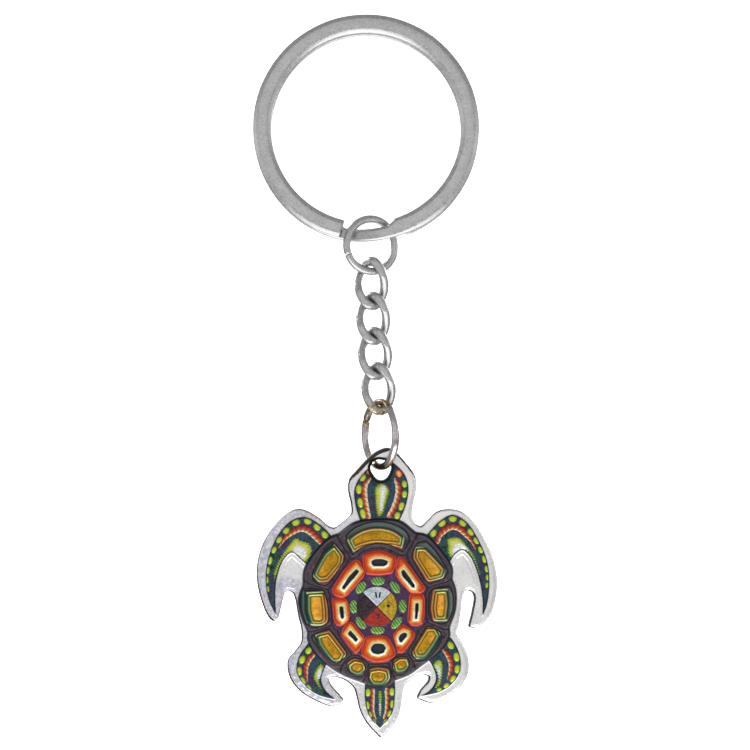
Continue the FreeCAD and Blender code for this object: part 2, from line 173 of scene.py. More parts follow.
# Inner scutes: corners of the plate, then corners of its dark slot.  All are convex.
INNER_SCUTES = (
    (((-1.95, 6.35), (-0.95, 6.8), (0.4, 6.95), (1.5, 6.65), (2.45, 6.0), (2.4, 4.9),
      (1.95, 3.95), (0.2, 3.7), (-1.4, 3.85), (-1.85, 4.8)),
     ((-0.7, 5.6), (-0.2, 5.82), (0.7, 5.8), (1.35, 5.55), (1.3, 5.15), (0.9, 4.92),
      (-0.5, 4.92), (-0.75, 5.2))),
    (((2.6, 5.7), (2.85, 6.15), (3.35, 6.05), (4.7, 4.3), (6.25, 2.15), (6.25, 1.75),
      (5.85, 1.35), (4.45, 1.35), (3.0, 2.85), (2.4, 3.75)),
     ((3.2, 4.2), (3.45, 4.45), (4.95, 2.4), (4.9, 2.05), (4.6, 2.1), (3.3, 3.7))),
    (((4.3, 1.2), (5.0, 1.3), (5.95, 1.2), (6.25, 0.6), (6.2, -1.8), (5.95, -2.7), (5.4, -3.0),
      (4.55, -2.95), (4.0, -2.3), (4.15, 0.3)),
     ((5.08, 0.0), (5.4, 0.0), (5.42, -0.8), (5.25, -2.05), (4.95, -2.05))),
    (((3.4, -2.75), (4.0, -3.1), (4.95, -3.95), (4.9, -4.4), (3.8, -6.1), (3.2, -6.65),
      (2.7, -6.5), (2.1, -4.2), (2.7, -3.3)),
     ((3.1, -4.1), (3.5, -3.88), (3.85, -3.98), (3.85, -4.35), (3.2, -5.15), (2.95, -5.1),
      (2.8, -4.6))),
    (((-1.65, -4.55), (-1.2, -4.3), (0.0, -4.22), (0.9, -4.3), (1.5, -4.6), (2.35, -6.2),
      (2.4, -6.9), (1.6, -7.5), (0.5, -7.8), (-0.4, -7.8), (-1.4, -7.4), (-2.1, -6.9),
      (-2.1, -6.3)),
     ((-0.75, -5.75), (-0.45, -5.4), (0.1, -5.3), (0.75, -5.4), (1.1, -5.9), (0.85, -6.5),
      (0.1, -6.72), (-0.6, -6.55), (-0.85, -6.2))),
    (((-3.95, -2.5), (-3.3, -2.5), (-1.8, -4.35), (-1.95, -5.4), (-2.4, -6.3), (-2.9, -6.65),
      (-3.5, -6.0), (-4.7, -4.3), (-4.7, -3.7), (-4.3, -2.9)),
     ((-3.55, -3.6), (-3.86, -4.0), (-2.85, -5.08), (-2.53, -4.75))),
    (((-5.95, 0.6), (-5.1, 0.75), (-4.2, 0.6), (-3.85, 0.0), (-3.65, -1.7), (-3.85, -2.3),
      (-4.7, -2.95), (-5.35, -2.95), (-5.75, -2.2)),
     ((-4.95, -0.45), (-4.57, -0.4), (-4.38, -1.85), (-4.62, -2.08), (-4.85, -1.85))),
    (((-3.0, 5.75), (-2.4, 5.65), (-1.7, 4.0), (-1.7, 3.5), (-3.4, 1.65), (-3.95, 1.0),
      (-4.6, 0.75), (-5.55, 0.95), (-6.0, 1.55), (-5.8, 2.2), (-4.3, 4.5)),
     ((-2.75, 4.5), (-2.45, 4.2), (-3.3, 3.1), (-4.4, 1.8), (-4.7, 2.05), (-3.75, 3.5))),
)
# Hub: leaves are U, V, half length, half width, angle of the length.
LEAVES = (
    (0.07, 2.9, 0.84, 0.5, 0), (2.33, 2.1, 0.85, 0.46, -52), (3.35, -0.4, 0.8, 0.47, 90),
    (2.54, -2.6, 0.88, 0.46, 50), (0.03, -3.56, 0.86, 0.5, 0), (-2.17, -2.6, 0.88, 0.46, -52),
    (-3.1, -0.46, 0.8, 0.48, 90), (-2.17, 2.05, 0.85, 0.48, 50),
)
WHEEL_U, WHEEL_V, WHEEL_R = -0.05, -0.45, 2.72
# Plain marks on the wheel: U, V, long half, short half, angle.
MARKS = (
    (-0.16, 1.1, 0.45, 0.12, 100), (0.32, 1.1, 0.45, 0.12, 80),
    (1.45, -0.35, 0.24, 0.2, 0), (1.3, 0.1, 0.1, 0.08, 0), (1.62, 0.12, 0.1, 0.08, 0),
    (1.9, -0.08, 0.1, 0.08, 0),
    (0.12, -1.75, 0.42, 0.07, 90), (-0.1, -1.5, 0.22, 0.07, 130), (0.34, -1.5, 0.22, 0.07, 50),
)
# Beads are U, V, half length, half width, angle of the length, and 1 for an orange one.
BEADS = (
    (-1.05, 17.35, 0.45, 0.34, 50, 1), (2.85, 17.1, 0.5, 0.4, 120, 1),
    (-1.9, 16.5, 0.48, 0.34, 48, 0), (-2.45, 15.0, 0.6, 0.38, 88, 0),
    (-2.25, 13.2, 0.64, 0.37, 98, 0), (-1.9, 11.75, 0.62, 0.36, 104, 0),
    (3.6, 15.7, 0.45, 0.34, 100, 0), (3.6, 14.35, 0.46, 0.34, 85, 0),
    (3.2, 12.75, 0.55, 0.36, 72, 0), (2.65, 11.5, 0.48, 0.38, 70, 0),
    (-6.95, 8.98, 0.52, 0.4, -48, 0), (-7.98, 10.0, 0.52, 0.4, -42, 0),
    (-9.22, 10.77, 0.52, 0.4, -14, 0), (-10.77, 10.6, 0.52, 0.42, 20, 0),
    (-12.06, 9.5, 0.48, 0.36, 45, 0), (-13.0, 8.3, 0.46, 0.34, 55, 0),
    (-13.7, 6.97, 0.46, 0.33, 62, 0), (-14.2, 5.57, 0.52, 0.3, 75, 0),
    (-14.5, 4.27, 0.45, 0.24, 82, 0), (-14.6, 3.0, 0.42, 0.2, 90, 0),
    (-14.5, 1.8, 0.38, 0.18, 96, 0),
    (7.4, 9.2, 0.5, 0.4, 58, 0), (8.55, 10.53, 0.54, 0.42, 35, 0), (9.98, 11.1, 0.52, 0.4, 0, 0),
    (11.3, 10.53, 0.52, 0.4, -40, 0), (12.37, 9.33, 0.5, 0.38, -50, 0),
    (13.1, 8.2, 0.5, 0.32, -58, 0), (13.68, 7.0, 0.46, 0.3, -64, 0),
    (14.15, 5.75, 0.48, 0.27, -72, 0), (14.45, 4.45, 0.42, 0.22, -80, 0),
    (14.55, 3.35, 0.36, 0.2, -88, 0), (14.5, 2.3, 0.34, 0.18, -95, 0),
    (9.7, -5.65, 0.52, 0.38, -55, 0), (10.5, -7.2, 0.58, 0.4, -80, 0),
    (10.6, -8.8, 0.55, 0.38, 88, 0), (10.03, -10.1, 0.5, 0.36, 60, 0),
    (9.15, -11.0, 0.42, 0.32, 35, 0), (8.2, -11.5, 0.36, 0.22, 15, 0),
    (-9.1, -6.35, 0.5, 0.36, 45, 0), (-9.95, -7.55, 0.54, 0.38, 65, 0),
    (-10.35, -9.1, 0.56, 0.36, 88, 0), (-9.88, -10.35, 0.52, 0.32, -60, 0),
    (-9.1, -11.25, 0.42, 0.28, -45, 0),
    (-1.25, -11.9, 0.5, 0.34, 85, 0), (-1.35, -13.6, 0.52, 0.32, 95, 0),
    (-1.0, -14.8, 0.42, 0.28, 108, 0), (-0.45, -15.75, 0.4, 0.26, 118, 0),
    (1.95, -11.8, 0.5, 0.34, 92, 0), (2.0, -13.4, 0.5, 0.3, 85, 0),
    (1.65, -14.7, 0.45, 0.28, 70, 0), (1.1, -15.75, 0.4, 0.26, 60, 0),
)
# Red stripes: middle line as U, V, half width.  The pale edge is on the left of the direction.
STRIPES = (
    ((-1.2, 11.3, 0.36), (-1.45, 12.5, 0.4), (-1.7, 14.0, 0.42), (-1.7, 15.4, 0.42),
     (-0.95, 16.5, 0.18)),
    ((2.4, 16.3, 0.22), (2.8, 15.3, 0.4), (2.7, 14.0, 0.42), (2.3, 12.7, 0.42), (1.6, 11.4, 0.38)),
    ((-13.1, 7.3, 0.12), (-12.3, 8.5, 0.3), (-11.3, 9.35, 0.42), (-10.1, 9.85, 0.48),
     (-9.0, 9.55, 0.5), (-8.1, 8.75, 0.48), (-7.3, 7.9, 0.4)),
    ((7.85, 8.1, 0.4), (8.3, 9.1, 0.46), (9.2, 9.85, 0.48), (10.05, 10.1, 0.46),
     (10.9, 9.85, 0.46), (11.75, 9.1, 0.42), (12.5, 8.2, 0.28), (13.1, 7.0, 0.1)),
    ((8.75, -6.2, 0.24), (9.45, -7.0, 0.4), (9.85, -8.2, 0.42), (9.7, -9.3, 0.34),
     (9.3, -10.2, 0.14)),
    ((-9.3, -10.3, 0.14), (-9.5, -9.4, 0.34), (-9.5, -8.4, 0.42), (-9.05, -7.45, 0.42),
     (-8.4, -6.85, 0.26)),
    ((-0.25, -15.4, 0.12), (-0.6, -14.4, 0.24), (-0.65, -13.0, 0.3), (-0.6, -11.5, 0.32)),
    ((1.3, -11.5, 0.32), (1.32, -13.0, 0.3), (1.2, -14.4, 0.24), (0.85, -15.4, 0.12)),
)
# Yellow-green patches, each with the outline of its pale middle.
PATCHES = (
    (((-0.2, 15.35), (0.45, 15.8), (1.2, 15.5), (1.55, 14.8), (1.25, 13.6), (0.9, 12.4),
      (0.65, 11.65), (0.1, 11.5), (-0.1, 12.2), (-0.28, 13.8)),
     ((0.55, 15.5), (1.0, 15.4), (1.05, 14.4), (0.8, 13.2), (0.62, 12.2), (0.4, 12.2),
      (0.48, 14.2))),
    (((-11.6, 7.7), (-10.8, 8.5), (-10.0, 8.15), (-9.1, 7.8), (-8.65, 7.0), (-8.95, 6.1),
      (-9.5, 5.35), (-10.1, 5.75), (-11.2, 6.75), (-12.3, 6.0), (-13.2, 4.1), (-13.6, 2.3),
      (-13.75, 3.5), (-13.2, 5.1), (-12.4, 6.6)),
     ((-11.1, 6.95), (-10.4, 7.5), (-9.7, 7.1), (-9.4, 6.4), (-9.7, 5.75), (-10.3, 6.1))),
    (((9.3, 8.35), (10.15, 8.6), (10.9, 8.5), (11.8, 7.5), (12.6, 6.5), (13.2, 5.0), (13.75, 3.0),
      (13.3, 4.2), (12.6, 5.9), (11.8, 6.95), (11.1, 7.1), (10.4, 6.75), (9.85, 6.0),
      (9.4, 6.6), (9.35, 7.5)),
     ((10.1, 7.2), (10.7, 7.9), (11.4, 7.6), (12.0, 6.9), (11.1, 7.1), (10.4, 6.75), (9.9, 6.3))),
    (((8.1, -7.6), (7.4, -8.25), (7.95, -9.3), (8.05, -10.3), (7.6, -11.4), (8.25, -10.95),
      (8.55, -9.8), (8.65, -8.6), (8.55, -7.9)),
     ((7.7, -8.3), (8.2, -8.6), (8.35, -9.4), (8.2, -10.3), (8.0, -9.3))),
    (((-7.45, -8.15), (-8.15, -9.0), (-8.4, -9.9), (-8.0, -10.75), (-7.35, -11.6),
      (-7.7, -10.4), (-7.5, -9.4), (-7.0, -8.6)),
     ((-7.5, -8.7), (-7.95, -9.3), (-7.85, -10.2), (-7.6, -10.0), (-7.35, -9.2))),
    (((0.2, -11.8), (0.35, -11.6), (0.55, -11.9), (0.55, -13.6), (0.4, -15.3), (0.25, -13.6)),
     ((0.33, -13.2), (0.42, -13.2), (0.42, -14.6), (0.36, -14.9))),
)

# =============================================================== curves and distances
FAR = -2.0                   # value of a distance field well outside its shape
LOCAL_MARGIN = 1.2           # how far round an outline its field is worked out
SCUTE_MARGIN = 2
STRIPE_MARGIN = 3.6
FACING_BLEND = 0.16          # width over which a scute's sides change at its corners
CHUNK = 1500                 # points worked out at a time, to keep the arrays small


def smooth_stretch(points, step):
    """Points along a centripetal Catmull-Rom curve through the given points."""
    pts = np.array(points, float)
    full = np.vstack([2 * pts[0] - pts[1], pts, 2 * pts[-1] - pts[-2]])
    out = []
    for p0, p1, p2, p3 in zip(full, full[1:], full[2:], full[3:]):
        span = np.linalg.norm((p2 - p1)[:2])
        t1 = np.linalg.norm((p1 - p0)[:2]) ** 0.5
        t2 = t1 + span ** 0.5
        t3 = t2 + np.linalg.norm((p3 - p2)[:2]) ** 0.5
        for t in np.linspace(t1, t2, max(2, ceil(span / step)), endpoint=False):
            a1 = p0 + (p1 - p0) * t / t1
            a2 = p1 + (p2 - p1) * (t - t1) / (t2 - t1)
            a3 = p2 + (p3 - p2) * (t - t2) / (t3 - t2)
            b1 = a1 + (a2 - a1) * t / t2
            b2 = a2 + (a3 - a2) * (t - t1) / (t3 - t1)
            out.append(b1 + (b2 - b1) * (t - t1) / (t2 - t1))
    return out


def closed_outline(points, step=0.25):
    """Closed polygon through the points, smooth except at sharp corners."""
    corners = [k for k, p in enumerate(points) if len(p) == 3]
    flat = [p[:2] for p in points]
    if not corners:
        # Three points are added at each end, and dropped again where the curve meets the first.
        curve = np.array(smooth_stretch(flat[-3:] + flat + flat[:3], step))
        away = np.linalg.norm(curve - flat[0], axis=1)
        half = len(curve) // 2
        return curve[away[:half].argmin():half + away[half:].argmin()]
    out = []
    for first, last in zip(corners, corners[1:] + [corners[0] + len(points)]):
        out += smooth_stretch([flat[k % len(points)] for k in range(first, last + 1)], step)
    return np.array(out)


def run_along(line):
    """Distance of each point from the start of a line."""
    return np.concatenate([[0], np.cumsum(np.linalg.norm(np.diff(line, axis=0), axis=1))])


def even_loop(loop, spacing=None, count=None):
    """Even points round a closed loop that keeps its first point."""
    closed = np.vstack([loop, loop[:1]])
    run = run_along(closed)
    at = np.linspace(0, run[-1], count or int(run[-1] / spacing), endpoint=False)
    return np.column_stack([np.interp(at, run, column) for column in closed.T])


def loop_area(loop):
    """Area of a closed loop, negative for a clockwise one."""
    u, v = loop.T
    return 0.5 * (u * np.roll(v, -1) - np.roll(u, -1) * v).sum()


def outward_of(loop):
    """Unit vectors that point out of a closed loop, which may run either way."""
    ahead = np.roll(loop, -1, axis=0) - np.roll(loop, 1, axis=0)
    normal = np.column_stack([ahead[:, 1], -ahead[:, 0]]) * np.sign(loop_area(loop))
    return normal / np.maximum(np.linalg.norm(normal, axis=1), 1e-9)[:, None]


def signed_distance(points, outline):
    """Distance of each point from a closed outline, positive inside."""
    au, av = outline.T
    bu, bv = (np.roll(outline, -1, axis=0) - outline).T
    inverse = 1 / (bu * bu + bv * bv)
    rise = np.where(np.abs(bv) < 1e-9, 1e-9, bv)
    out = np.empty(len(points))
    for first in range(0, len(points), CHUNK):
        u, v = points[first:first + CHUNK].T[:, :, None]
        du, dv = u - au, v - av
        t = np.clip((du * bu + dv * bv) * inverse, 0, 1)
        distance = np.sqrt(((du - t * bu) ** 2 + (dv - t * bv) ** 2).min(1))
        crosses = ((dv < 0) != (dv < bv)) & (du < dv * (bu / rise))
        inside = crosses.sum(1) % 2 == 1
        out[first:first + CHUNK] = np.where(inside, distance, -distance)
    return out


def near_box(points, shape, margin):
    """Whether each point is within a margin of the shape's box."""
    return ((points > shape.min(0) - margin) & (points < shape.max(0) + margin)).all(1)


def local_distance(points, outline):
    """As signed_distance, worked out only near the outline; FAR elsewhere."""
    near = near_box(points, outline, LOCAL_MARGIN)
    out = np.full(len(points), FAR)
    out[near] = np.maximum(signed_distance(points[near], outline), FAR)
    return out


def convex_field(points, corners, rounding, outward=None):
    """Mitred distance inside a convex outline, and how far its nearest side faces the hub."""
    c = np.array(corners)
    side = np.roll(c, -1, axis=0) - c
    normal = np.column_stack([-side[:, 1], side[:, 0]]) * np.sign(loop_area(c))
    normal /= np.linalg.norm(normal, axis=1)[:, None]
    if outward is None:
        outward = c.mean(0) / np.linalg.norm(c.mean(0))
    value, facing = np.full(len(points), FAR), np.zeros(len(points))
    near = near_box(points, c, SCUTE_MARGIN)
    d = points[near] @ normal.T - (c * normal).sum(1)
    low = d.min(1)
    share = np.exp((low[:, None] - d) / rounding)
    value[near] = np.maximum(low - rounding * np.log(share.sum(1)), FAR)
    wide = np.exp((low[:, None] - d) / FACING_BLEND)
    facing[near] = (wide @ (normal @ np.array(outward))) / wide.sum(1)
    return value, facing


def oval_distance(points, u, v, long_half, short_half, angle):
    """Rough signed distance from an oval, positive inside."""
    a = radians(angle)
    du, dv = points[:, 0] - u, points[:, 1] - v
    along = (du * cos(a) + dv * sin(a)) / long_half
    across = (-du * sin(a) + dv * cos(a)) / short_half
    size = np.hypot(along, across)
    scale = np.where(size < 1e-6, short_half, np.hypot(du, dv) / np.maximum(size, 1e-6))
    return np.maximum((1 - size) * scale, FAR)


def stripe_fields(points, stripe):
    """Signed distance inside a stripe, side of its middle (-1 to 1) and distance along it."""
    line = np.array(smooth_stretch(stripe, 0.15))
    middle, width = line[:, :2], line[:, 2]
    inside = np.full(len(points), 2 * FAR)
    side, along = np.zeros(len(points)), np.zeros(len(points))
    near = np.nonzero(near_box(points, middle, STRIPE_MARGIN))[0]
    gap = points[near][:, None] - middle[None]
    distance = np.linalg.norm(gap, axis=2)
    best = distance.argmin(1)
    rows = np.arange(len(near))
    ahead = np.gradient(middle, axis=0)[best]
    ahead /= np.linalg.norm(ahead, axis=1)[:, None]
    offset = gap[rows, best]
    inside[near] = np.maximum(width[best] - distance[rows, best], 2 * FAR)
    side[near] = (ahead[:, 1] * offset[:, 0] - ahead[:, 0] * offset[:, 1]) / width[best]
    along[near] = run_along(middle)[best] + (ahead * offset).sum(1)
    return inside, side, along


def soft_step(value, low, high):
    """0 at low and 1 at high, smooth between them."""
    t = np.clip((value - low) / (high - low), 0, 1)
    return t * t * (3 - 2 * t)


def ridge(value, at, half_width):
    """1 on a line of a distance field, 0 away from it."""
    return np.exp(-((value - at) / half_width) ** 2)


def rolled(distance, radius):
    """Height of an edge that is rolled down over a radius: 0 past it."""
    inward = radius - np.clip(distance, 0, radius)
    return np.sqrt(np.maximum(radius ** 2 - inward ** 2, 0)) - radius


def rough(points, size, seed):
    """Smooth noise of about -1 to 1 at each point."""
    return np.array([noise.noise(Vector((u / size, v / size, seed))) for u, v in points])


# =============================================================== the pressed sheet
def hole_reach(a):
    """Radius of the hanging hole in a direction; burrs make its top and its sides narrower."""
    radius = HOLE_R
    for towards, spread, depth in HOLE_BURRS:
        off = (np.mod(a - radians(towards) + pi, 2 * pi) - pi) / radians(spread)
        radius = radius - depth * np.exp(-off ** 2)
    return radius


def hole_points(spacing):
    a = np.linspace(0, 2 * pi, int(2 * pi * HOLE_R / spacing), endpoint=False)
    r = hole_reach(a)
    return np.column_stack([HOLE_U + r * np.cos(a), HOLE_V + r * np.sin(a)])


def past_hole(points):
    """Distance of each point from the hole's edge."""
    du, dv = points[:, 0] - HOLE_U, points[:, 1] - HOLE_V
    return np.hypot(du, dv) - hole_reach(np.mod(np.arctan2(dv, du), 2 * pi))


def pressed_points(outline, coarse, hole, spacing):
    """Points of both borders first, then a triangular grid between them."""
    low, high = outline.min(0), outline.max(0)
    rows = []
    row_gap = spacing * sqrt(3) / 2
    for j in range(ceil((high[1] - low[1]) / row_gap)):
        u = np.arange(low[0] + spacing / 2 * (j % 2), high[0], spacing)
        rows.append(np.column_stack([u, np.full(len(u), low[1] + j * row_gap)]))
    grid = np.vstack(rows)
    clear = spacing * 0.6
    grid = grid[signed_distance(grid, coarse) > clear]
    grid = grid[past_hole(grid) > clear]
    return np.vstack([outline, hole, grid])


def triangulate(points, n_outline, n_hole):
    """Triangles between an outer and an inner border, both in their first points."""
    outer = list(range(n_outline))
    inner = list(range(n_outline, n_outline + n_hole))
    edges = [(loop[k - 1], loop[k]) for loop in (outer, inner) for k in range(len(loop))]
    face = outer if loop_area(points[outer]) > 0 else outer[::-1]
    found = geometry.delaunay_2d_cdt([Vector(p) for p in points], edges, [face], 1, 1e-7)
    verts = np.array([tuple(v) for v in found[0]])
    tris = np.array(found[2])
    in_hole = ((tris >= n_outline) & (tris < n_outline + n_hole)).all(1)
    return verts, tris[~in_hole], outer, inner


def far_fields(points, count):
    return [np.full(len(points), FAR) for _ in range(count)]


def border_fields(points, coarse, n_outline):
    """Distances from the outline and from the hole; the first points lie on the outline."""
    edge = signed_distance(points, coarse)
    edge[:n_outline] = 0
    return {"edge": edge, "hole": np.maximum(past_hole(points), 0)}


def scute_fields(points, f):
    """Plates of the shell: outer ones with a gold panel, inner ones with a dark slot."""
    plate, panel, hubward, second = far_fields(points, 4)
    arch = points - (ARCH_U, ARCH_V)
    arch = np.column_stack([np.arctan2(arch[:, 0], arch[:, 1]) * ARCH_R, np.hypot(*arch.T)])
    scutes = [(arch, TOP_SCUTE, (0, 1))] + [(points, scute, None) for scute in OUTER_SCUTES]
    for place, (shape, gold), outward in scutes:
        own, _ = convex_field(place, shape, 0.08, outward)
        inner, facing = convex_field(place, gold, 0.05, outward)
        hubward = np.where(own > plate, facing, hubward)
        panel = np.where(own > plate, inner, panel)
        second = np.maximum(second, np.minimum(plate, own))
        plate = np.maximum(plate, own)
    f["plate"], f["panel"], f["hubward"] = plate, panel, hubward
    inner, slot, slot_side = far_fields(points, 3)
    for shape, dark in INNER_SCUTES:
        own = convex_field(points, shape, 0.06)[0] + SCUTE_GROWTH
        hollow, _ = convex_field(points, dark, 0.04)
        slot = np.where(own > inner, hollow, slot)
        slot_side = np.where(own > inner, points[:, 1] - np.mean(dark, axis=0)[1], slot_side)
        inner = np.maximum(inner, own)
    f["inner"], f["slot"], f["slot_side"] = inner, slot, slot_side
    # Zero where two plates are equally near, which is where the grooves have their seams.
    rival = np.maximum(second, np.minimum(plate, inner + SEAM_SHIFT))
    f["seam"] = np.where(plate > FAR + 0.2, np.maximum(plate, inner + SEAM_SHIFT) - rival, 1.0)


def hub_fields(points, f):
    f["leaf"] = np.max([oval_distance(points, *leaf) for leaf in LEAVES], axis=0) + 0.10
    f["mark"] = np.max([oval_distance(points, *mark) for mark in MARKS], axis=0)
    f["reach"] = np.hypot(*points.T)
    f["wheel_u"] = points[:, 0] - WHEEL_U
    f["wheel_v"] = points[:, 1] - WHEEL_V
    f["wheel"] = WHEEL_R - np.hypot(f["wheel_u"], f["wheel_v"])


def limb_art_fields(points, f):
    """Beads, stripes and patches on the head, the flippers and the tail."""
    ovals = np.array([oval_distance(points, *bead[:5]) for bead in BEADS])
    f["bead"] = ovals.max(0) + 0.05
    f["hot"] = np.array([bead[5] for bead in BEADS], float)[ovals.argmax(0)]
    stripe = np.full(len(points), 2 * FAR)
    side, along = np.zeros(len(points)), np.zeros(len(points))
    for shape in STRIPES:
        own, own_side, own_along = stripe_fields(points, shape)
        side = np.where(own > stripe, own_side, side)
        along = np.where(own > stripe, own_along, along)
        stripe = np.maximum(stripe, own)
    f["stripe"], f["side"], f["along"] = stripe, side, along
    for which, name in enumerate(("patch", "pale")):
        outlines = [closed_outline(pair[which], 0.15) for pair in PATCHES]
        f[name] = np.max([local_distance(points, outline) for outline in outlines], axis=0)


def art_fields(points, coarse, n_outline):
    """Every distance field that shapes and colours the front."""
    f = border_fields(points, coarse, n_outline)
    f["shell"] = np.maximum(signed_distance(points, closed_outline(SHELL)), -9)
    limbs = [local_distance(points, closed_outline(shape)) for shape in LIMBS.values()]
    f["limb"] = np.max(limbs, axis=0)
    scute_fields(points, f)
    hub_fields(points, f)
    limb_art_fields(points, f)
    return f


def front_height(points, f):
    """Height of the pressed foil over its plain face.

    A step is a height, then where in a field it starts and where it is full.  A ridge is a
    height, then its place in a field and its half width."""
    u, v = points.T
    h = rolled(f["edge"], EDGE_R) + rolled(f["hole"], HOLE_EDGE_R)
    art = np.maximum(f["limb"], f["shell"])
    # plain border, crinkled more on the left
    border = soft_step(-art, 0.0, 0.2)
    h += 0.05 * border * soft_step(f["edge"], 0.1, 0.5)
    crinkle = border * (0.35 + 0.65 * soft_step(-u, -2, 9))
    h += crinkle * (0.035 * rough(points, 0.55, 3.1) + 0.018 * rough(points, 0.22, 7.7))
    pocket = (np.abs(u) > 9.3) & (v > 2.0) & (f["edge"] > 0.9)
    h += pocket * (0.05 * ridge(f["limb"], -0.42, 0.07) - 0.04 * ridge(f["limb"], -0.62, 0.10))
    # raised limbs with a shallow pillow, pressed flat round the hole where the ring swings
    clear_of_ring = soft_step(f["hole"], 0.0, 1.1)
    h += LIMB_RISE * clear_of_ring * soft_step(f["limb"], -0.10, 0.14)
    h += 0.10 * clear_of_ring * soft_step(f["limb"], 0.1, 1.0)
    # domed shell
    reach = np.hypot(u / 10.4, (v + 0.1) / 11.2)
    dome = np.sqrt(np.clip(1 - reach ** 2 * 0.92, 0, 1))
    h = np.maximum(h, soft_step(f["shell"], -0.12, 0.35) * (SHELL_BASE + SHELL_RISE * dome))
    # outer scutes: the plate, seams of the grooves, and ridges round the gold panel
    hubside = 0.35 + 0.65 * soft_step(f["hubward"], -0.6, 0.2)
    seams = 0.03 * ridge(f["seam"], 0.34, 0.16) - 0.05 * ridge(f["seam"], 0.0, 0.14)
    scutes = 0.18 * soft_step(f["plate"], -0.06, 0.34) + seams * (f["plate"] < 0)
    scutes += 0.09 * hubside * ridge(f["panel"], -0.62, 0.11)
    scutes += 0.11 * ridge(f["panel"], -0.28, 0.11)
    scutes += 0.09 * (1 - hubside) * ridge(f["panel"], -1.05, 0.12)
    h += soft_step(f["shell"], 0.0, 0.2) * scutes
    for rise, name, low, high in ((0.05, "panel", -0.05, 0.4), (0.22, "inner", -0.04, 0.36),
                                  (-0.20, "slot", -0.04, 0.10), (0.08, "wheel", -0.04, 0.12),
                                  (0.05, "stripe", -0.05, 0.16), (0.03, "patch", -0.05, 0.15)):
        h += rise * soft_step(f[name], low, high)
    h += 0.05 * ridge(f["inner"], 0.14, 0.08) + 0.07 * ridge(f["slot"], -0.14, 0.09)
    # pillows of the leaves and the beads, and the wheel's sunk spokes
    h += 0.13 * np.sqrt(soft_step(f["leaf"], -0.02, 0.42))
    h += 0.13 * clear_of_ring * np.sqrt(soft_step(f["bead"], -0.03, 0.36))
    spoke = np.minimum(np.abs(f["wheel_u"] - f["wheel_v"]), np.abs(f["wheel_u"] + f["wheel_v"]))
    h -= 0.07 * soft_step(f["wheel"], 0, 0.1) * ridge(spoke, 0.0, 0.13)
    h += 0.012 * soft_step(art, -0.05, 0.1) * rough(points, 0.35, 11.9)
    return h


# =============================================================== meshes
def make_piece(name, verts, faces, material, body, nodes, smooth=True):
    """Mesh in the shared frame from millimetre vertices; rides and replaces."""
    mesh = bpy.data.meshes.new(name)
    mesh.from_pydata([tuple(v) for v in np.asarray(verts) * MM], [], faces)
    mesh.validate()
    mesh.polygons.foreach_set("use_smooth", [smooth] * len(mesh.polygons))
    mesh.update()
    piece = bpy.data.objects.new(name, mesh)
    bpy.context.collection.objects.link(piece)
    mesh.materials.append(material)
    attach(piece, body)
    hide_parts(*nodes)
    return piece


def to_frame(points, depth):
    """U and V points, at one depth along Y or one each, to places in the frame."""
    y = np.zeros(len(points)) + depth
    return np.column_stack([points[:, 0] + PENDANT_X, y, points[:, 1] + PENDANT_Z])


def bridge(first, second, flip):
    """Quads between two rings of vertex numbers of the same length."""
    quads = [[first[k - 1], first[k], second[k], second[k - 1]] for k in range(len(first))]
    return [quad[::-1] for quad in quads] if flip else quads


def same_turn(tris, points, anticlockwise):
    """The triangles, all wound the same way."""
    a, b, c = points[tris].transpose(1, 0, 2)
    ab, ac = b - a, c - a
    wrong = ((ab[:, 0] * ac[:, 1] - ab[:, 1] * ac[:, 0]) > 0) != anticlockwise
    tris = tris.copy()
    tris[wrong] = tris[wrong][:, ::-1]
    return tris


def skin_solid(outline, coarse, hole, spacing, height_of, facing):
    """Closed foil: a shaped face, a turned-down edge, a turned-in hole and a flat inside.

    facing is -1 for a foil that looks along -Y and 1 for one that looks along +Y."""
    points = pressed_points(outline, coarse, hole, spacing)
    flat, tris, outer, inner = triangulate(points, len(outline), len(hole))
    face_y = facing * (BOARD_HALF + FOIL_T)
    seam_y = face_y - facing * (FOIL_T + HEM)
    tuck_y = face_y - facing * (FOIL_T - HEM)
    verts = [to_frame(flat, face_y + facing * height_of(flat))]
    # Anticlockwise in U and V looks along -Y, so a face that looks along +Y is turned over.
    faces = same_turn(tris, flat, facing < 0).tolist()
    base = len(flat)
    inside = []
    for loop_ids, sign in ((outer, 1), (inner, -1)):
        loop = flat[loop_ids]
        turned = loop + outward_of(loop) * TURNED * sign
        tucked = loop - outward_of(loop) * TUCKED * sign
        flip = ((loop_area(loop) > 0) == (sign > 0)) ^ (facing > 0)
        last = loop_ids
        for ring, y in ((turned, seam_y), (tucked, seam_y), (tucked, tuck_y)):
            verts.append(to_frame(ring, y))
            ids = list(range(base, base + len(ring)))
            faces += bridge(last, ids, flip)
            last = ids
            base += len(ring)
        inside += last
    # The flat inside is one filled area between the last two rings.
    border = flat[outer + inner]
    back = triangulate(border, len(outer), len(inner))[1]
    faces += np.array(inside)[same_turn(back, border, facing > 0)].tolist()
    return np.vstack(verts), faces, flat


def add_fields(piece, fields, count):
    """Stores each field as a mesh attribute; vertices past count are far outside every shape."""
    for name, values in fields.items():
        full = np.full(len(piece.data.vertices), 0 if name == "edge" else FAR, np.float32)
        full[:count] = values
        piece.data.attributes.new(name, "FLOAT", "POINT").data.foreach_set("value", full)


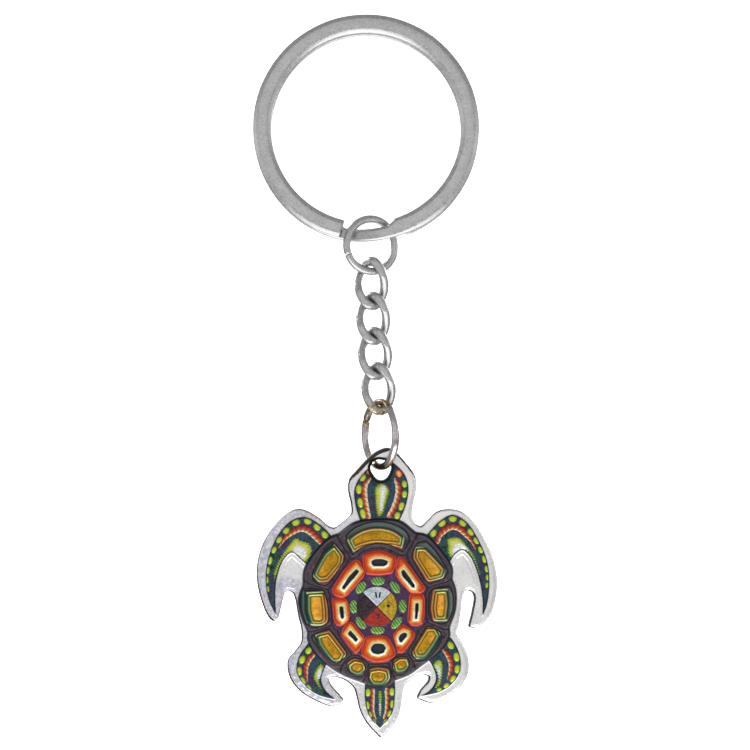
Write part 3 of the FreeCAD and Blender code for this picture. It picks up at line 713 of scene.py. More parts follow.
# =============================================================== shader helpers
class Value:
    """A value in a material; arithmetic on it adds Math nodes."""

    def __init__(self, look, socket):
        self.look, self.socket = look, socket

    def __add__(self, other):
        return self.look.math("ADD", self, other)

    def __sub__(self, other):
        return self.look.math("SUBTRACT", self, other)

    def __mul__(self, other):
        return self.look.math("MULTIPLY", self, other)

    def __truediv__(self, other):
        return self.look.math("DIVIDE", self, other)

    def __abs__(self):
        return self.look.math("ABSOLUTE", self)

    def fraction(self):
        return self.look.math("FRACT", self)

    def step(self, low, high, to_low=0.0, to_high=1.0):
        """to_low at low and to_high at high, smooth between them."""
        node = self.look.node("MapRange", **{"Value": self, "From Min": low, "From Max": high,
                                             "To Min": to_low, "To Max": to_high})
        node.interpolation_type = "SMOOTHSTEP"
        return Value(self.look, node.outputs["Result"])

    def ramp(self, stops, low=0.0, high=1.0):
        """Colour ramp over low..high, from the colour at each stop."""
        node = self.look.node("ValToRGB", Fac=(self - low) / (high - low))
        elements = node.color_ramp.elements
        elements.remove(elements[1])
        elements[0].position = 0
        elements[0].color = rgba(next(iter(stops.values())))
        for at, colour in stops.items():
            elements.new((at - low) / (high - low)).color = rgba(colour)
        return Value(self.look, node.outputs["Color"])


class Look:
    """A material under construction, with short calls for the nodes used here."""

    def __init__(self, name):
        self.material = bpy.data.materials.new(name)
        self.material.use_nodes = True
        self.tree = self.material.node_tree
        self.tree.nodes.clear()
        self.shader = self.node("BsdfPrincipled")
        output = self.node("OutputMaterial")
        self.tree.links.new(self.shader.outputs[0], output.inputs[0])
        self.place = Value(self, self.node("TexCoord").outputs["Object"])

    def plug(self, node, socket, value):
        if isinstance(value, Value):
            self.tree.links.new(value.socket, node.inputs[socket])
        else:
            node.inputs[socket].default_value = value

    def node(self, kind, **inputs):
        node = self.tree.nodes.new("ShaderNode" + kind)
        for socket, value in inputs.items():
            self.plug(node, socket, value)
        return node

    def field(self, name):
        node = self.node("Attribute")
        node.attribute_name = name
        return Value(self, node.outputs["Fac"])

    def axes(self):
        outputs = self.node("SeparateXYZ", Vector=self.place).outputs
        return [Value(self, output) for output in outputs]

    def noise(self, size, detail=4.0, roughness=0.55, warp=0.0, place=None, output="Fac"):
        node = self.node("TexNoise", Vector=place or self.place, Scale=1 / (size * MM),
                         Detail=detail, Roughness=roughness, Distortion=warp)
        return Value(self, node.outputs[output])

    def cells(self, size):
        node = self.node("TexVoronoi", Vector=self.place, Scale=1 / (size * MM))
        return Value(self, node.outputs["Distance"])

    def math(self, operation, *values):
        node = self.node("Math")
        node.operation = operation
        for socket in range(3):
            self.plug(node, socket, values[socket] if socket < len(values) else 0.0)
        return Value(self, node.outputs[0])

    def mix(self, share, a, b, blend="MIX"):
        node = self.node("Mix")
        node.data_type = "RGBA"
        node.blend_type = blend
        for socket, value in ((0, share), (6, a), (7, b)):
            self.plug(node, socket, rgba(value) if isinstance(value, str) else value)
        return Value(self, node.outputs[2])

    def finish(self, bump=None, **inputs):
        """Sets the shader's sockets, and a bump of (height, depth, strength); gives the material."""
        if bump:
            height, depth, strength = bump
            node = self.node("Bump", Strength=strength, Distance=depth * MM, Height=height)
            inputs["Normal"] = Value(self, node.outputs[0])
        for name, value in inputs.items():
            self.plug(self.shader, name.replace("_", " "), value)
        return self.material


def rgba(colour):
    """Linear colour from a hexadecimal display colour, or a grey from a number."""
    if isinstance(colour, (int, float)):
        return (colour, colour, colour, 1)
    values = [int(colour[k:k + 2], 16) / 255 for k in (1, 3, 5)]
    return tuple(v / 12.92 if v <= 0.04045 else ((v + 0.055) / 1.055) ** 2.4 for v in values) + (1,)


# =============================================================== materials
def steel_look(rub_z):
    """Dull nickel plating, with brown and cream tarnish at the height where the last link rubs."""
    look = Look("nickel_steel")
    large, fine = look.noise(1.6, 5, 0.6), look.noise(0.20, 4, 0.7)
    tone = look.mix(0.55, large.ramp({0.3: 0.38, 0.7: 0.56}),
                    fine.ramp({0.3: 0.28, 0.5: 0.48, 0.75: 0.74}))
    near = abs(look.axes()[2] - rub_z * MM).step(1.6 * MM, 0.9 * MM)
    brown = look.noise(0.5, 5, 0.6).ramp({0.34: "#3a2c24", 0.44: "#8a765c", 0.56: "#cdbfa2",
                                          0.68: "#8f8672"})
    height = fine * 0.6 + look.cells(0.55).step(0.0, 0.22) * 0.4
    return look.finish((height, 0.03, 0.7), Base_Color=look.mix(near * 0.85, tone, brown),
                       Metallic=1.0, Roughness=fine.step(0.25, 0.8, 0.24, 0.46))


def bright_wire_look(top_z):
    """Bright plating with brown tarnish: at its top, at its left above, and low where it rubs."""
    look = Look("bright_wire")
    x, _, z = look.axes()
    patchy = look.noise(0.9, 5, 0.65)
    top = z.step((top_z - 2.6) * MM, (top_z - 0.4) * MM)
    left = (x.step(1.6 * MM, 0.6 * MM, 0.0, 0.85)
            * z.step((top_z - 4.8) * MM, (top_z - 3.6) * MM))
    low = z.step((top_z - 6.5) * MM, (top_z - 8.5) * MM, 0.0, 0.75)
    worn = look.math("MAXIMUM", look.math("MAXIMUM", top, left), low)
    tarnish = (worn + patchy * 0.9).step(0.90, 1.40)
    clean = look.noise(1.2, 4).ramp({0.3: "#a39e9e", 0.55: "#c4bfbf", 0.8: "#e0dcdc"})
    brown = look.noise(0.35, 5).ramp({0.34: "#3c322c", 0.5: "#8a765e", 0.66: "#cbbd9c"})
    return look.finish((look.noise(0.5, 4, 0.6), 0.03, 0.35), Metallic=1.0,
                       Base_Color=look.mix(tarnish, clean, brown),
                       Roughness=look.noise(0.4, 4).step(0.3, 0.8, 0.14, 0.34))


def board_look():
    """Fibreboard with a burnt laser-cut edge."""
    look = Look("burnt_board")
    upright = look.node("Mapping", Vector=look.place, Scale=(1, 0.12, 1)).outputs[0]
    lines = look.noise(0.12, 5, 0.6, place=Value(look, upright))
    tone = look.mix(0.5, lines.ramp({0.3: "#15100e", 0.7: "#4a3c32"}),
                    look.noise(0.7, 5, 0.6).ramp({0.35: "#1a1514", 0.7: "#3b3029"}))
    return look.finish((lines, 0.06, 0.8), Base_Color=tone,
                       Roughness=lines.step(0.3, 0.7, 0.55, 0.8))


def plain_foil_look():
    look = Look("plain_foil")
    fine = look.noise(0.35, 5, 0.6)
    tone = look.noise(3.5, 4, 0.5, 0.6).ramp({0.3: "#bfc0c3", 0.55: "#dcdde0", 0.75: "#efeff0"})
    scuffs = look.noise(0.9, 6, 0.75, 1.5).step(0.60, 0.70)
    return look.finish((fine, 0.05, 0.5), Base_Color=look.mix(scuffs * 0.35, tone, "#8d8f93"),
                       Metallic=1.0, Roughness=fine.step(0.3, 0.7, 0.24, 0.42))


def paste_look():
    look = Look("set_paste")
    tone = look.noise(0.6).ramp({0.3: "#cfc8b8", 0.7: "#e4ded0"})
    return look.finish((look.noise(0.2), 0.05, 0.5), Base_Color=tone, Roughness=0.85)


def silver_tone(look, x):
    """Calm plating; near the edge on the left, a painted reflection of a mottled blue and pink room.
    """
    left = x.step((PENDANT_X + 1) * MM, (PENDANT_X - 9) * MM)
    near_edge = look.field("edge").step(2.2, 1.2, 0.0, 0.75)
    hue = look.noise(1.3, 3, 0.5, 0.8).ramp({0.3: "#b9c4d4", 0.42: "#dcdcec", 0.5: "#e4e2ea",
                                             0.6: "#d8cfe0", 0.72: "#f2f2fb"})
    # painted reflection of a mottled blue and pink room, mixed into the colour near the left edge
    painted_reflection = look.mix(look.noise(0.40, 5, 0.7).step(0.40, 0.60), "#a9abba", hue)
    calm = look.noise(2.5, 3).ramp({0.35: "#e0dfdf", 0.65: "#ecebea"})
    return look.mix(left * near_edge, calm, painted_reflection)


def limb_tone(look, limb, shift, tiny, from_middle):
    """Dark ground with yarn stripes, leafy patches with a pale middle, and beads with a painted
    highlight in the middle.
    """
    ground = look.noise(0.9, 4, 0.6).ramp({0.34: "#1c2824", 0.43: "#2a5040", 0.5: "#344662",
                                           0.58: "#282c3a", 0.68: "#50365a"})
    stripe, side, along = look.field("stripe"), look.field("side"), look.field("along")
    strand = ((along + side * 0.16) / 0.66).fraction()
    saw = (strand - 0.5) * 0.5
    # On the flippers the pale edge is thin.
    flipper = from_middle.step(4.5 * MM, 7 * MM, 0.0, 0.38)
    band = (side + saw - flipper).ramp({-1.0: "#64202e", -0.6: "#963832", -0.15: "#b8502a",
                                        0.2: "#d2803a", 0.45: "#e4ceaa", 1.0: "#dcd4c6"}, -1.0)
    thread_gap = strand.step(0.20, 0.04) * strand.step(0.0, 0.03)
    band = look.mix(thread_gap * 0.75, band, "#4a1a1a")
    tone = look.mix((stripe + shift).step(-0.03, 0.05), ground, band)
    fringe = ((along / 0.34).fraction() - 0.5) * 0.22 + shift
    patch = look.field("patch") + fringe
    leafy = patch.ramp({0.0: "#4d7026", 0.12: "#93a832", 0.35: "#bcbc42", 0.8: "#cfd08a"})
    tone = look.mix(patch.step(-0.03, 0.05), tone, leafy)
    pale = look.noise(0.3, 3).ramp({0.35: "#c3cbd6", 0.65: "#f0f0ea"})
    tone = look.mix((look.field("pale") + fringe).step(-0.10, 0.12), tone, pale)
    bead = look.field("bead")
    # beads: the dark ring is print; the paler middle is a painted highlight on each bead's dome
    lime = bead.ramp({-0.02: "#35521c", 0.09: "#8cab30", 0.2: "#b2c838", 0.4: "#cfc84a"}, -0.1, 0.5)
    hot = bead.ramp({-0.02: "#6d2a14", 0.08: "#c9541c", 0.2: "#ef8438", 0.4: "#f2c08a"}, -0.1, 0.5)
    beads = look.mix(look.field("hot"), lime, hot)
    tone = look.mix((bead + tiny).step(-0.02, 0.04), tone, beads)
    return look.mix(limb.step(0.22, 0.10), tone, "#0f171c")


def groove_tone(look, shell, plate, tiny):
    """Mottled floor between the plates; dark at its rim, its seams and round every plate, a printed
    outline deepened with painted shade in the grooves.
    """
    mottle = look.noise(0.6, 4, 0.6)
    outside = mottle.ramp({0.34: "#281f2a", 0.44: "#513c4a", 0.5: "#3c4246", 0.57: "#4c3c44",
                           0.66: "#66505a"})
    inside = mottle.ramp({0.34: "#281f32", 0.45: "#562e50", 0.55: "#343052", 0.68: "#703864"})
    tone = look.mix(look.field("reach").step(7.2, 5.6), outside, inside)
    rim = (shell + tiny).ramp({0.0: "#10141c", 0.26: "#1c2430", 0.40: "#564c56", 0.62: "#473d46"})
    tone = look.mix(shell.step(0.75, 0.55), tone, rim)
    # the near-black seams and the line round each plate are printed outline, darkened further as
    # painted shade
    tone = look.mix(look.field("seam").step(0.26, 0.08) * 0.8, tone, "#141018")
    return look.mix(abs(plate + 0.10).step(0.14, 0.05) * 0.85, tone, "#120e13")


# Colours of an outer scute, by the distance inside its gold panel, for sides that face each way. The
# hue is print; the bright lines on the ridges are painted highlights and the dark lines between them
# painted shade.
GOLD_RIDGES = {-1.30: "#1a1218", -1.05: "#4a2f38", -0.86: "#38161a", -0.74: "#8e5634",
               -0.62: "#cc9458", -0.50: "#6c4014", -0.42: "#4a2a08", -0.30: "#b88c30",
               -0.22: "#d8ae4c", -0.12: "#7c5608", -0.04: "#6a4806", 0.05: "#b4860e"}
LEAFY_RIDGES = {-1.25: "#1a1c1e", -1.0: "#3a3440", -0.78: "#0c1812", -0.64: "#8c9c70",
                -0.57: "#d8d6a8", -0.48: "#2c4a1c", -0.38: "#1e3a14", -0.28: "#98a24c",
                -0.21: "#dcd884", -0.12: "#5a6a14", 0.0: "#6a6410", 0.08: "#b4860e"}
TAN_RIDGE = {-1.40: "#14161a", -1.22: "#485f62", -1.10: "#70888a", -0.98: "#5f7066",
             -0.75: "#56605a", -0.60: "#2c3a38", -0.48: "#0e1a14", -0.38: "#6c6040",
             -0.27: "#b8945c", -0.15: "#a0843c", -0.05: "#5a4408", 0.05: "#a67e10"}
GREEN_RIDGE = {-1.40: "#14161a", -1.20: "#2c3e44", -1.04: "#477470", -0.85: "#22342f",
               -0.62: "#1a2622", -0.46: "#24462f", -0.34: "#4c7a5c", -0.24: "#8ca468",
               -0.12: "#5a5c1c", 0.0: "#7a6410", 0.08: "#a67e10"}


def scute_tone(look, panel, shift, x, z, from_middle):
    """Gold panel; its ridges are gold to the hub, leafy on the sides and tan or green outside, with
    painted highlights on them and painted shade between them.
    """
    # the bright lines of these ridge colours are painted highlights and their dark lines painted
    # shade
    ring_at = panel + shift * 0.22
    gold, leafy, tan, green = (ring_at.ramp(stops, -1.4, 0.6) for stops in
                               (GOLD_RIDGES, LEAFY_RIDGES, TAN_RIDGE, GREEN_RIDGE))
    # The tan ridge is on the upper right only.
    corner = PENDANT_X + PENDANT_Z
    outer = look.mix((x + z).step((corner + 3) * MM, (corner + 7) * MM), green, tan)
    hubward = look.field("hubward")
    tone = look.mix(hubward.step(-0.85, -0.35), outer, leafy)
    tone = look.mix(hubward.step(0.15, 0.70), tone, gold)
    grain = look.noise(0.45, 5, 0.65)
    panel_gold = look.mix(from_middle.step(6.4 * MM, 8.2 * MM),
                          grain.ramp({0.35: "#926a04", 0.5: "#b2820a", 0.66: "#c8981e"}),
                          grain.ramp({0.35: "#cf8a20", 0.5: "#eda636", 0.66: "#f6be5c"}))
    return look.mix(panel.step(0.02, 0.14), tone, panel_gold)


def inner_scute_tone(look, inner, tiny):
    """Red and orange plate round a dark slot; a painted salmon highlight on the ridge near its edge,
    a painted cream highlight on the slot's rim, brightest low in the slot, and a painted sheen in
    the slot's middle.
    """
    slot = look.field("slot")
    # painted highlight: the salmon line on the ridge near the plate's edge, with painted shade in
    # the darker reds either side
    body = (inner + tiny).ramp({-0.05: "#3a1422", 0.05: "#9a2234", 0.13: "#e06454",
                                0.20: "#982a12", 0.34: "#b43a14", 0.5: "#cc4a18",
                                0.75: "#d86220"}, -0.1)
    # painted highlight: cream on the slot's raised rim; painted sheen: the lighter blue-grey in the
    # slot's middle
    rim = (slot + tiny).ramp({-0.70: "#dc4c14", -0.52: "#e47a28", -0.38: "#e8a44c",
                              -0.27: "#e0c488", -0.16: "#eadfb8", -0.07: "#a8a070",
                              0.0: "#28402e", 0.06: "#0a161c", 0.17: "#121c28",
                              0.26: "#24303c"}, -0.75, 0.3)
    # painted glint: near-white on the rim, low in the slot
    glint = look.field("slot_side").step(0.15, -0.35) * slot.step(-0.30, -0.17)
    rim = look.mix(glint * slot.step(0.02, -0.05), rim, "#fdf8ec")
    return look.mix(slot.step(-0.72, -0.45), body, rim)


def leaf_tone(look, leaf, shift, x, z):
    veins = ((x + z * 0.7 + shift * MM) / (0.42 * MM)).fraction()
    tone = look.mix(abs(veins - 0.5).step(0.12, 0.34), "#37702f", "#86ad5e")
    return look.mix(leaf.step(0.10, 0.0), tone, "#234f34")


def wheel_tone(look, wheel):
    """White, yellow, red and black quarters with dark spokes, marks and rim."""
    u, v = look.field("wheel_u"), look.field("wheel_v")
    rising, falling = u + v, v - u
    grain = look.noise(0.35, 4)
    white, yellow, red, black = (grain.ramp({0.35: dark, 0.65: light}) for dark, light in (
        ("#9caab6", "#cfd4d8"), ("#9c7e14", "#c8aa34"), ("#84221c", "#b43a30"),
        ("#1c1820", "#44303c")))
    upper, lower = (look.mix(falling.step(-0.02, 0.02), right, left)
                    for right, left in ((yellow, white), (red, black)))
    tone = look.mix(rising.step(-0.02, 0.02), lower, upper)
    spoke = look.math("MINIMUM", abs(rising), abs(falling))
    for share, dark in ((spoke.step(0.10, 0.05), "#2b2024"),
                        (look.field("mark").step(-0.03, 0.03), "#1c2436"),
                        (wheel.step(0.16, 0.06), "#2e2a24")):
        tone = look.mix(share, tone, dark)
    return tone


def printed_foil_look():
    """Silver border and pockets, and every printed colour, from the fields on the mesh."""
    look = Look("printed_foil")
    wobble, fine = look.noise(0.28, 3, 0.6), look.noise(0.16, 4, 0.65)
    # How far a printed edge wanders, in millimetres.
    shift, tiny = (wobble - 0.5) * 0.22, (fine - 0.5) * 0.10
    x, _, z = look.axes()
    from_middle = abs(x - PENDANT_X * MM)
    limb, shell, plate, panel, inner, leaf, wheel = (
        look.field(name) for name in ("limb", "shell", "plate", "panel", "inner", "leaf", "wheel"))
    shell_tone = groove_tone(look, shell, plate, tiny)
    for share, layer in (
            ((plate + tiny).step(-0.04, 0.06), scute_tone(look, panel, shift, x, z, from_middle)),
            ((inner + tiny).step(-0.08, 0.0), inner_scute_tone(look, inner, tiny)),
            ((leaf + tiny).step(-0.02, 0.05), leaf_tone(look, leaf, shift, x, z)),
            (wheel.step(0.0, 0.05), wheel_tone(look, wheel))):
        shell_tone = look.mix(share, shell_tone, layer)
    is_shell, is_limb = shell.step(-0.02, 0.06), limb.step(-0.02, 0.06)
    tone = look.mix(is_limb, silver_tone(look, x), limb_tone(look, limb, shift, tiny, from_middle))
    tone = look.mix(is_shell, tone, shell_tone)
    # dark ring round the hanging hole: partly print, partly painted shade of the ring wire and of
    # the hole's wall
    tone = look.mix(look.field("hole").step(0.44, 0.28), tone, "#0e1518")
    inked = look.math("MAXIMUM", is_shell, is_limb)
    for amount, size in ((0.35, 0.22), (0.30, 0.9)):
        speckle = look.noise(size, 3, 0.6, output="Color")
        tone = look.mix(inked * amount, tone, speckle, "OVERLAY")
    return look.finish((fine * 0.5 + wobble * 0.5, 0.045, 0.55), Base_Color=tone,
                       Metallic=inked.step(0.0, 1.0, 1.0, 0.45),
                       Roughness=fine.step(0.3, 0.75, 0.24, 0.40), IOR=1.35,
                       Coat_Weight=0.06, Coat_Roughness=0.15)


# =============================================================== pendant pieces
OUTER_LINE = even_loop(closed_outline(OUTLINE, 0.05), FOIL_STEP)


def foil_line(loop):
    """The foil's own edge, a little inside the board's, more so on the head and on the lower left,
    where the wider band of dark board is painted shade.
    """
    outward = outward_of(loop)
    # edges facing the lower left show more dark board: painted shade
    shaded = np.clip(outward @ np.array([-0.75, -0.65]), 0, 1) ** 1.5
    crown = soft_step(loop[:, 1], 15.5, 17.5) * (0.40 + 0.60 * soft_step(-outward[:, 0], -0.5, 0.1))
    claw = soft_step(-loop[:, 1], 0.5, 3.0) * (loop[:, 0] < -12.5)
    inset = 0.07 + 0.22 * shaded + 0.40 * crown + 0.10 * claw * shaded
    moved = loop - outward * inset[:, None]
    # Points that cross over each other at a sharp tip are left out.
    clear = signed_distance(moved, loop) > inset - 0.02
    return even_loop(moved[clear], FOIL_STEP)


def build_front():
    fields = {}
    outline = foil_line(OUTER_LINE)
    coarse = outline[::3]

    def shape(points):
        fields.update(art_fields(points, coarse, len(outline)))
        return front_height(points, fields)

    spacing = FOIL_STEP
    verts, faces, flat = skin_solid(outline, coarse, hole_points(FOIL_STEP), spacing, shape, -1)
    piece = make_piece("turtle_face", verts, faces, printed_foil_look(), "pendant",
                       ["front_foil"])
    add_fields(piece, fields, len(flat))


def build_back():
    outline = even_loop(OUTER_LINE, BACK_STEP)
    coarse = outline[::2]

    def shape(points):
        near = border_fields(points, coarse, len(outline))
        h = rolled(near["edge"], EDGE_R) - 0.12 * soft_step(-near["hole"], -0.25, 0.0)
        h -= 0.05 * ridge(near["edge"], 1.1, 0.12)
        return h + 0.03 * rough(points, 1.6, 21.0) + 0.02 * rough(points, 0.5, 5.0)

    verts, faces, _ = skin_solid(outline, coarse, hole_points(BACK_STEP), BACK_GRID, shape, 1)
    make_piece("turtle_back", verts, faces, plain_foil_look(), "pendant",
               ["back_foil"])


def build_board():
    """Board between the foils; its cut edge has fine upright scallops and a slight belly."""
    outline, hole = even_loop(OUTER_LINE, BOARD_STEP), hole_points(BOARD_STEP)
    flat, tris, outer, inner = triangulate(np.vstack([outline, hole]), len(outline), len(hole))
    verts, faces, layers = [], [], []
    base = 0
    for share in np.linspace(-1, 1, BOARD_LAYERS + 1):
        y = (BOARD_HALF - 0.01) * share
        rings = []
        for loop_ids, sign in ((outer, 1), (inner, -1)):
            loop = flat[loop_ids]
            scallop = 0.018 * np.sin(np.arange(len(loop)) * 2.1)
            drift = 0.02 * rough(loop, 1.1, y + 40)
            grow = sign * (-0.01 - 0.05 * share ** 2) + scallop + drift
            verts.append(to_frame(loop + outward_of(loop) * grow[:, None], y))
            rings.append(list(range(base, base + len(loop))))
            base += len(loop)
        layers.append(rings)
    for below, above in zip(layers, layers[1:]):
        for first, second, sign in zip(below, above, (1, -1)):
            anticlockwise = loop_area(flat[outer if sign > 0 else inner]) > 0
            faces += bridge(first, second, anticlockwise == (sign > 0))
    for (outside, inside), anticlockwise in ((layers[0], True), (layers[-1], False)):
        faces += np.array(outside + inside)[same_turn(tris, flat, anticlockwise)].tolist()
    make_piece("turtle_board", np.vstack(verts), faces, board_look(), "pendant",
               ["core_board"], smooth=False)


# =============================================================== metal pieces
RING_OUTER_R = 15.0
RING_INNER_R = 12.6
CROSS_INNER_R = 13.3         # the strip is narrower where it crosses from coil to coil
STRIP_T = 1.10
COIL_GAP = 0.04
BACK_COIL_DROP = 0.22        # the back coil hangs a little lower than the front one
# Places and steps along the strip, in degrees from the bottom of the front coil.
FRONT_END = -13.0
BACK_END = 21.0 - 720
CROSSING = -360.0
CROSS_STEP, COIL_STEP = 0.5, 1.6
# Half lengths in degrees: of the crossing, with its shoulders, and with its rounder edges.
CROSS_HALF, SHOULDER_HALF, ROUND_HALF = 12.0, 17.6, 30.0
JUMP_CUT = 1.4               # degrees of each jump ring's cut
WIRE_SECTIONS = 150          # sections of a jump ring
WIRE_SIDES = 28
LINK_WIRE = 1.15
LINK_LENGTH = 7.08
LINK_WIDTH = 4.6
LINK_TWIST = 45.0
LINK_ROUNDNESS = 2.35        # power of the link's oval: 2 is an ellipse
LINK_FLAT_Y = 0.98           # a link is pressed where it stands out past this,
LINK_PRESSED = 0.45          # by this share of what stands out
LINK_SECTIONS = 132


def sweep(sections, closed):
    """Skin over sections, each a centre, two axes and a profile of points along them."""
    verts = [centre + u * a + v * b for centre, u, v, profile in sections for a, b in profile]
    ring, count = len(sections[0][3]), len(sections)
    faces = []
    for k in range(count if closed else count - 1):
        first, second = k * ring, (k + 1) % count * ring
        for j in range(ring):
            jn = (j + 1) % ring
            faces.append([first + j, first + jn, second + jn, second + j])
    if not closed:
        faces.append(list(range(ring))[::-1])
        faces.append([(count - 1) * ring + j for j in range(ring)])
    return np.array(verts), faces


def round_profile(radius):
    angles = [2 * pi * j / WIRE_SIDES for j in range(WIRE_SIDES)]
    return [(radius * cos(a), radius * sin(a)) for a in angles]


def rounded_bar(width, thick, corner_w, corner_t, bevel, per_corner=8):
    """Closed profile of a strip, width along the first axis.

    Its corners are oval; a bevel power near two makes them flat."""
    out = []
    for quarter, (sa, sb) in enumerate(((1, 1), (-1, 1), (-1, -1), (1, -1))):
        for k in range(per_corner):
            angle = pi / 2 * (quarter + k / (per_corner - 1))
            a = width / 2 - corner_w + corner_w * abs(cos(angle)) ** bevel
            b = thick / 2 - corner_t + corner_t * abs(sin(angle)) ** bevel
            out.append((sa * a, sb * b))
    return out


def node_centre(node):
    low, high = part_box(node)
    return Vector([(low[k] + high[k]) / 2 for k in range(3)]) / MM


def share_of(value, none, full):
    """0 at none, 1 at full, straight between them."""
    return min(max((value - none) / (full - none), 0), 1)


def end_wear(to_end, reach, depth):
    """How much a cut end is worn down, by the distance from it."""
    return depth * max(0.0, 1 - to_end / reach)


def build_key_ring():
    """Two turns of flat strip and the narrow crossing between them, as one swept piece."""
    angles = [FRONT_END]
    while angles[-1] > BACK_END:
        near = abs(angles[-1] - CROSSING) < SHOULDER_HALF + 1
        angles.append(angles[-1] - (CROSS_STEP if near else COIL_STEP))
    angles[-1] = BACK_END
    sections = []
    for angle in angles:
        along = angle - CROSSING
        to_back = share_of(along, CROSS_HALF, -CROSS_HALF)
        narrow = share_of(abs(along), SHOULDER_HALF, CROSS_HALF)
        rounder = share_of(abs(along), ROUND_HALF, CROSS_HALF)
        inner = RING_INNER_R + (CROSS_INNER_R - RING_INNER_R) * narrow
        to_end = min(abs(angle - FRONT_END), abs(angle - BACK_END))
        worn = end_wear(to_end, 1.2, 0.06)
        wave = 0.035 * noise.noise(Vector((angle * 0.05, 3.0, 0.0)))
        outer = RING_OUTER_R - worn + wave
        outward = Vector((sin(radians(angle)), 0, -cos(radians(angle))))
        y = -(STRIP_T + COIL_GAP) / 2 * cos(pi * to_back)
        # The front coil has worn, flattened corners; the back coil's are small.
        corner_w = (0.58 - 0.06 * rounder) * (1 - to_back) + (0.12 + 0.4 * rounder) * to_back
        corner_t = (0.31 + 0.11 * rounder) * (1 - to_back) + (0.12 + 0.3 * rounder) * to_back
        centre = outward * ((outer + inner) / 2) + Vector((0, y, -BACK_COIL_DROP * to_back))
        sections.append((centre, outward, Vector((0, 1, 0)),
                         rounded_bar(outer - inner - worn, STRIP_T - worn, corner_w, corner_t,
                                     1.75 - 0.75 * rounder)))
    verts, faces = sweep(sections, False)
    make_piece("key_ring_strip", verts, faces, MATERIALS["steel"], "key_ring",
               ["split_ring"])


def build_wire_ring(name, node, body, slot, mean_r, wire, turn, cut_at, seed):
    """Round wire bent to a ring in the place of its CAD node, with a narrow cut."""
    centre = node_centre(node)
    across, up = Vector((cos(radians(turn)), sin(radians(turn)), 0)), Vector((0, 0, 1))
    axis = across.cross(up)
    sections = []
    for share in np.linspace(0, 1, WIRE_SECTIONS).tolist():
        a = radians(cut_at + JUMP_CUT / 2 + (360 - JUMP_CUT) * share)
        spoke = across * cos(a) + up * sin(a)
        dent = 0.02 * noise.noise(Vector((cos(a) * 1.7 + seed, sin(a) * 1.7, seed)))
        worn = end_wear(min(share, 1 - share) * 2 * pi * mean_r, 0.12, 0.05)
        sections.append((centre + spoke * (mean_r + dent), spoke, axis,
                         round_profile(wire / 2 - worn + 0.3 * dent)))
    verts, faces = sweep(sections, False)
    make_piece(name, verts, faces, MATERIALS[slot], body, [node])


def link_line(half_l, half_w):
    """Middle line of a link: an oval, twisted along its length, as even points."""
    raw = []
    for k in range(720):
        c, s = cos(2 * pi * k / 720), sin(2 * pi * k / 720)
        z = half_l * abs(s) ** (2 / LINK_ROUNDNESS) * (1 if s > 0 else -1)
        across = half_w * abs(c) ** (2 / LINK_ROUNDNESS) * (1 if c > 0 else -1)
        twist = -radians(LINK_TWIST) * z / half_l
        raw.append((across * cos(twist), across * sin(twist), z))
    line = even_loop(np.array(raw), count=LINK_SECTIONS)
    for _ in range(3):
        line = (np.roll(line, 1, axis=0) + 2 * line + np.roll(line, -1, axis=0)) / 4
    return line


def build_link(number, lean, turn):
    """Curb link: a twisted loop of wire, pressed a little flat front and back, with a butt seam.

    It is turned about the chain and then leans sideways, both in degrees."""
    half_l, half_w = (LINK_LENGTH - LINK_WIRE) / 2, (LINK_WIDTH - LINK_WIRE) / 2
    line = link_line(half_l, half_w)
    ahead = np.roll(line, -1, axis=0) - np.roll(line, 1, axis=0)
    seam = LINK_SECTIONS / 2     # the middle of the left side
    sections = []
    for k, (place, heading) in enumerate(zip(line, ahead)):
        heading = Vector(heading / np.linalg.norm(heading))
        side = heading.cross(Vector((0, 1, 0)))
        side.normalize()
        groove = 0.05 * np.exp(-((k - seam) / 0.55) ** 2)
        dent = 0.015 * noise.noise(Vector((k * 0.11, number * 7.3, 0)))
        crown = 0.07 * max(abs(place[2]) / half_l - 0.72, 0) / 0.28
        sections.append((Vector(place), side, side.cross(heading),
                         round_profile(LINK_WIRE / 2 - groove + dent + crown)))
    verts, faces = sweep(sections, True)
    x, y, z = verts.T
    y = y - np.sign(y) * np.maximum(np.abs(y) - LINK_FLAT_Y, 0) * LINK_PRESSED
    a, b = radians(turn), radians(lean)
    x, y = x * cos(a) - y * sin(a), x * sin(a) + y * cos(a)
    x, z = x * cos(b) - z * sin(b), x * sin(b) + z * cos(b)
    node = f"chain_link_{number}"
    placed = np.column_stack([x, y, z]) + np.array(node_centre(node))
    make_piece(f"link_wire_{number}", placed, faces, MATERIALS["steel"], f"link_{number}",
               [node])


# =============================================================== build
lower_ring_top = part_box("lower_jump_ring")[1][2] / MM
MATERIALS = {"steel": steel_look(lower_ring_top - 1.9),
             "bright_wire": bright_wire_look(lower_ring_top)}
build_key_ring()
build_wire_ring("top_ring_wire", "top_jump_ring", "top_ring", "steel",
                mean_r=3.475, wire=1.05, turn=24.0, cut_at=200.0, seed=1.0)
for link_row in ((1, 1.5, -2.0), (2, 2.0, 0.0), (3, 3.0, 0.0), (4, 5.0, 0.0)):
    build_link(*link_row)
build_wire_ring("lower_ring_wire", "lower_jump_ring", "lower_ring", "bright_wire",
                mean_r=4.30, wire=1.00, turn=-62.0, cut_at=155.0, seed=2.0)
build_front()
build_back()
build_board()

# The paste behind the raised shell is closed in by foil and board, so it keeps its CAD shape.
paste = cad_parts["relief_filler"]
paste.data.materials.clear()
paste.data.materials.append(paste_look())


# =============================================================== camera, light and backdrop
# From here on lengths are metres, apart from the view in the picture and the lens.
VIEW_X, VIEW_Z, VIEW_WIDTH = 1.19, -32.80, 99.77
LENS, SENSOR = 85.0, 36.0
ROOM_LEVEL = 0.46
AIM = Vector((0.001, 0, -0.035))
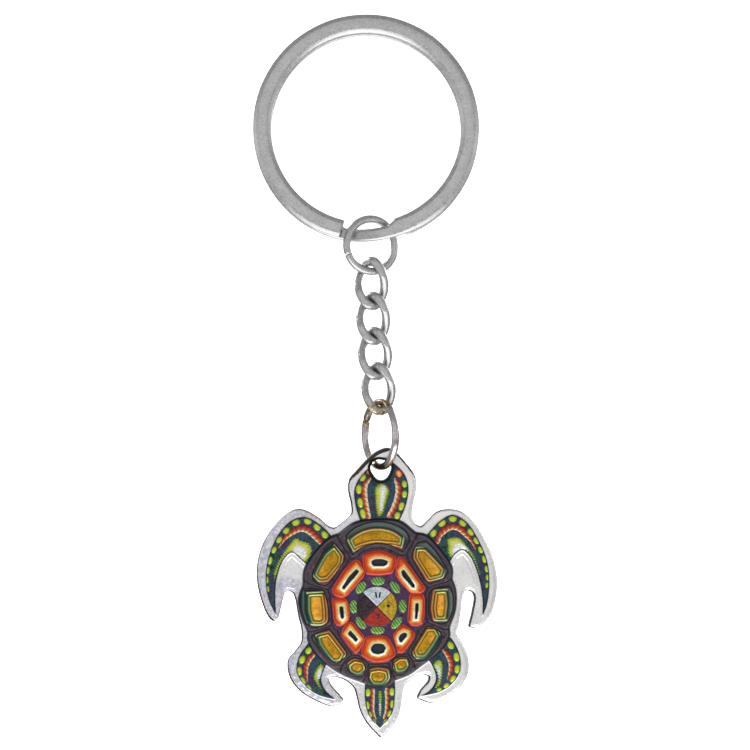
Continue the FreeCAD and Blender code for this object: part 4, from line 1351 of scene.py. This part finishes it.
# Lights, all aimed at AIM: name, place, height, width, watts.
LIGHTS = (
    ("front", (-0.05, -0.80, 0.10), 0.80, 0.80, 0.75),
    ("low_front", (0.01, -0.24, -0.37), 0.34, 0.80, 1.5),
    ("left_side", (-0.60, -0.36, 0.0), 0.45, 0.45, 0.35),
    ("right_side", (0.60, -0.36, 0.0), 0.45, 0.45, 0.35),
    ("back_left", (-0.35, 0.25, 0.25), 0.30, 0.30, 1.4),
    ("back_right", (0.35, 0.30, 0.10), 0.30, 0.30, 1.4),
)
# The backdrop's floor and its front edge, half width, back, radius of its bend, and top.
FLOOR_Z, FLOOR_FRONT, FLOOR_HALF, BACK_Y, BEND_R, BACK_TOP = -0.62, -0.15, 0.24, 0.55, 0.25, 0.22


def add_camera():
    data = bpy.data.cameras.new("camera")
    data.lens = LENS
    data.sensor_width = SENSOR
    data.clip_start = 0.01
    data.clip_end = 20
    camera = bpy.data.objects.new("camera", data)
    camera.location = (VIEW_X * MM, -VIEW_WIDTH * LENS / SENSOR * MM, VIEW_Z * MM)
    camera.rotation_euler = (pi / 2, 0, 0)
    bpy.context.collection.objects.link(camera)
    bpy.context.scene.camera = camera


def add_backdrop():
    """A white sweep of paper: a floor some way below the tail that curves up behind."""
    look = Look("white_paper")
    paper = look.finish(Base_Color=look.noise(60).ramp({0.3: 0.90, 0.7: 0.93}), Roughness=0.9,
                        Emission_Color=(1, 1, 1, 1), Emission_Strength=0.85)
    profile = [(FLOOR_FRONT, FLOOR_Z)]
    for k in range(13):
        a = pi / 2 * k / 12
        profile.append((BACK_Y - BEND_R + BEND_R * sin(a), FLOOR_Z + BEND_R - BEND_R * cos(a)))
    profile.append((BACK_Y, BACK_TOP))
    verts = [(x, y, z) for y, z in profile for x in (-FLOOR_HALF, FLOOR_HALF)]
    faces = [(k, k + 1, k + 3, k + 2) for k in range(0, len(verts) - 2, 2)]
    mesh = bpy.data.meshes.new("paper_sweep")
    mesh.from_pydata(verts, [], faces)
    mesh.polygons.foreach_set("use_smooth", [True] * len(faces))
    mesh.materials.append(paper)
    sweep_piece = bpy.data.objects.new("paper_sweep", mesh)
    bpy.context.collection.objects.link(sweep_piece)


def add_light(name, place, height, width, watts):
    data = bpy.data.lights.new(name, "AREA")
    data.shape = "DISK" if width == height else "ELLIPSE"
    data.size = width
    data.size_y = height
    data.energy = watts
    light = bpy.data.objects.new(name, data)
    light.location = place
    light.rotation_euler = (AIM - Vector(place)).to_track_quat("-Z", "Y").to_euler()
    bpy.context.collection.objects.link(light)


def add_world():
    """White to the camera; a mid-grey room to the light that reaches the object."""
    world = bpy.data.worlds.new("studio")
    world.use_nodes = True
    tree = world.node_tree
    tree.nodes.clear()
    output, pick, path, room, white = (tree.nodes.new("ShaderNode" + kind) for kind in (
        "OutputWorld", "MixShader", "LightPath", "Background", "Background"))
    room.inputs[0].default_value = white.inputs[0].default_value = (1, 1, 1, 1)
    room.inputs[1].default_value = ROOM_LEVEL
    tree.links.new(path.outputs["Is Camera Ray"], pick.inputs[0])
    tree.links.new(room.outputs[0], pick.inputs[1])
    tree.links.new(white.outputs[0], pick.inputs[2])
    tree.links.new(pick.outputs[0], output.inputs[0])
    bpy.context.scene.world = world


add_camera()
add_backdrop()
add_world()
for light_row in LIGHTS:
    add_light(*light_row)
bpy.context.scene.view_settings.view_transform = "Standard"
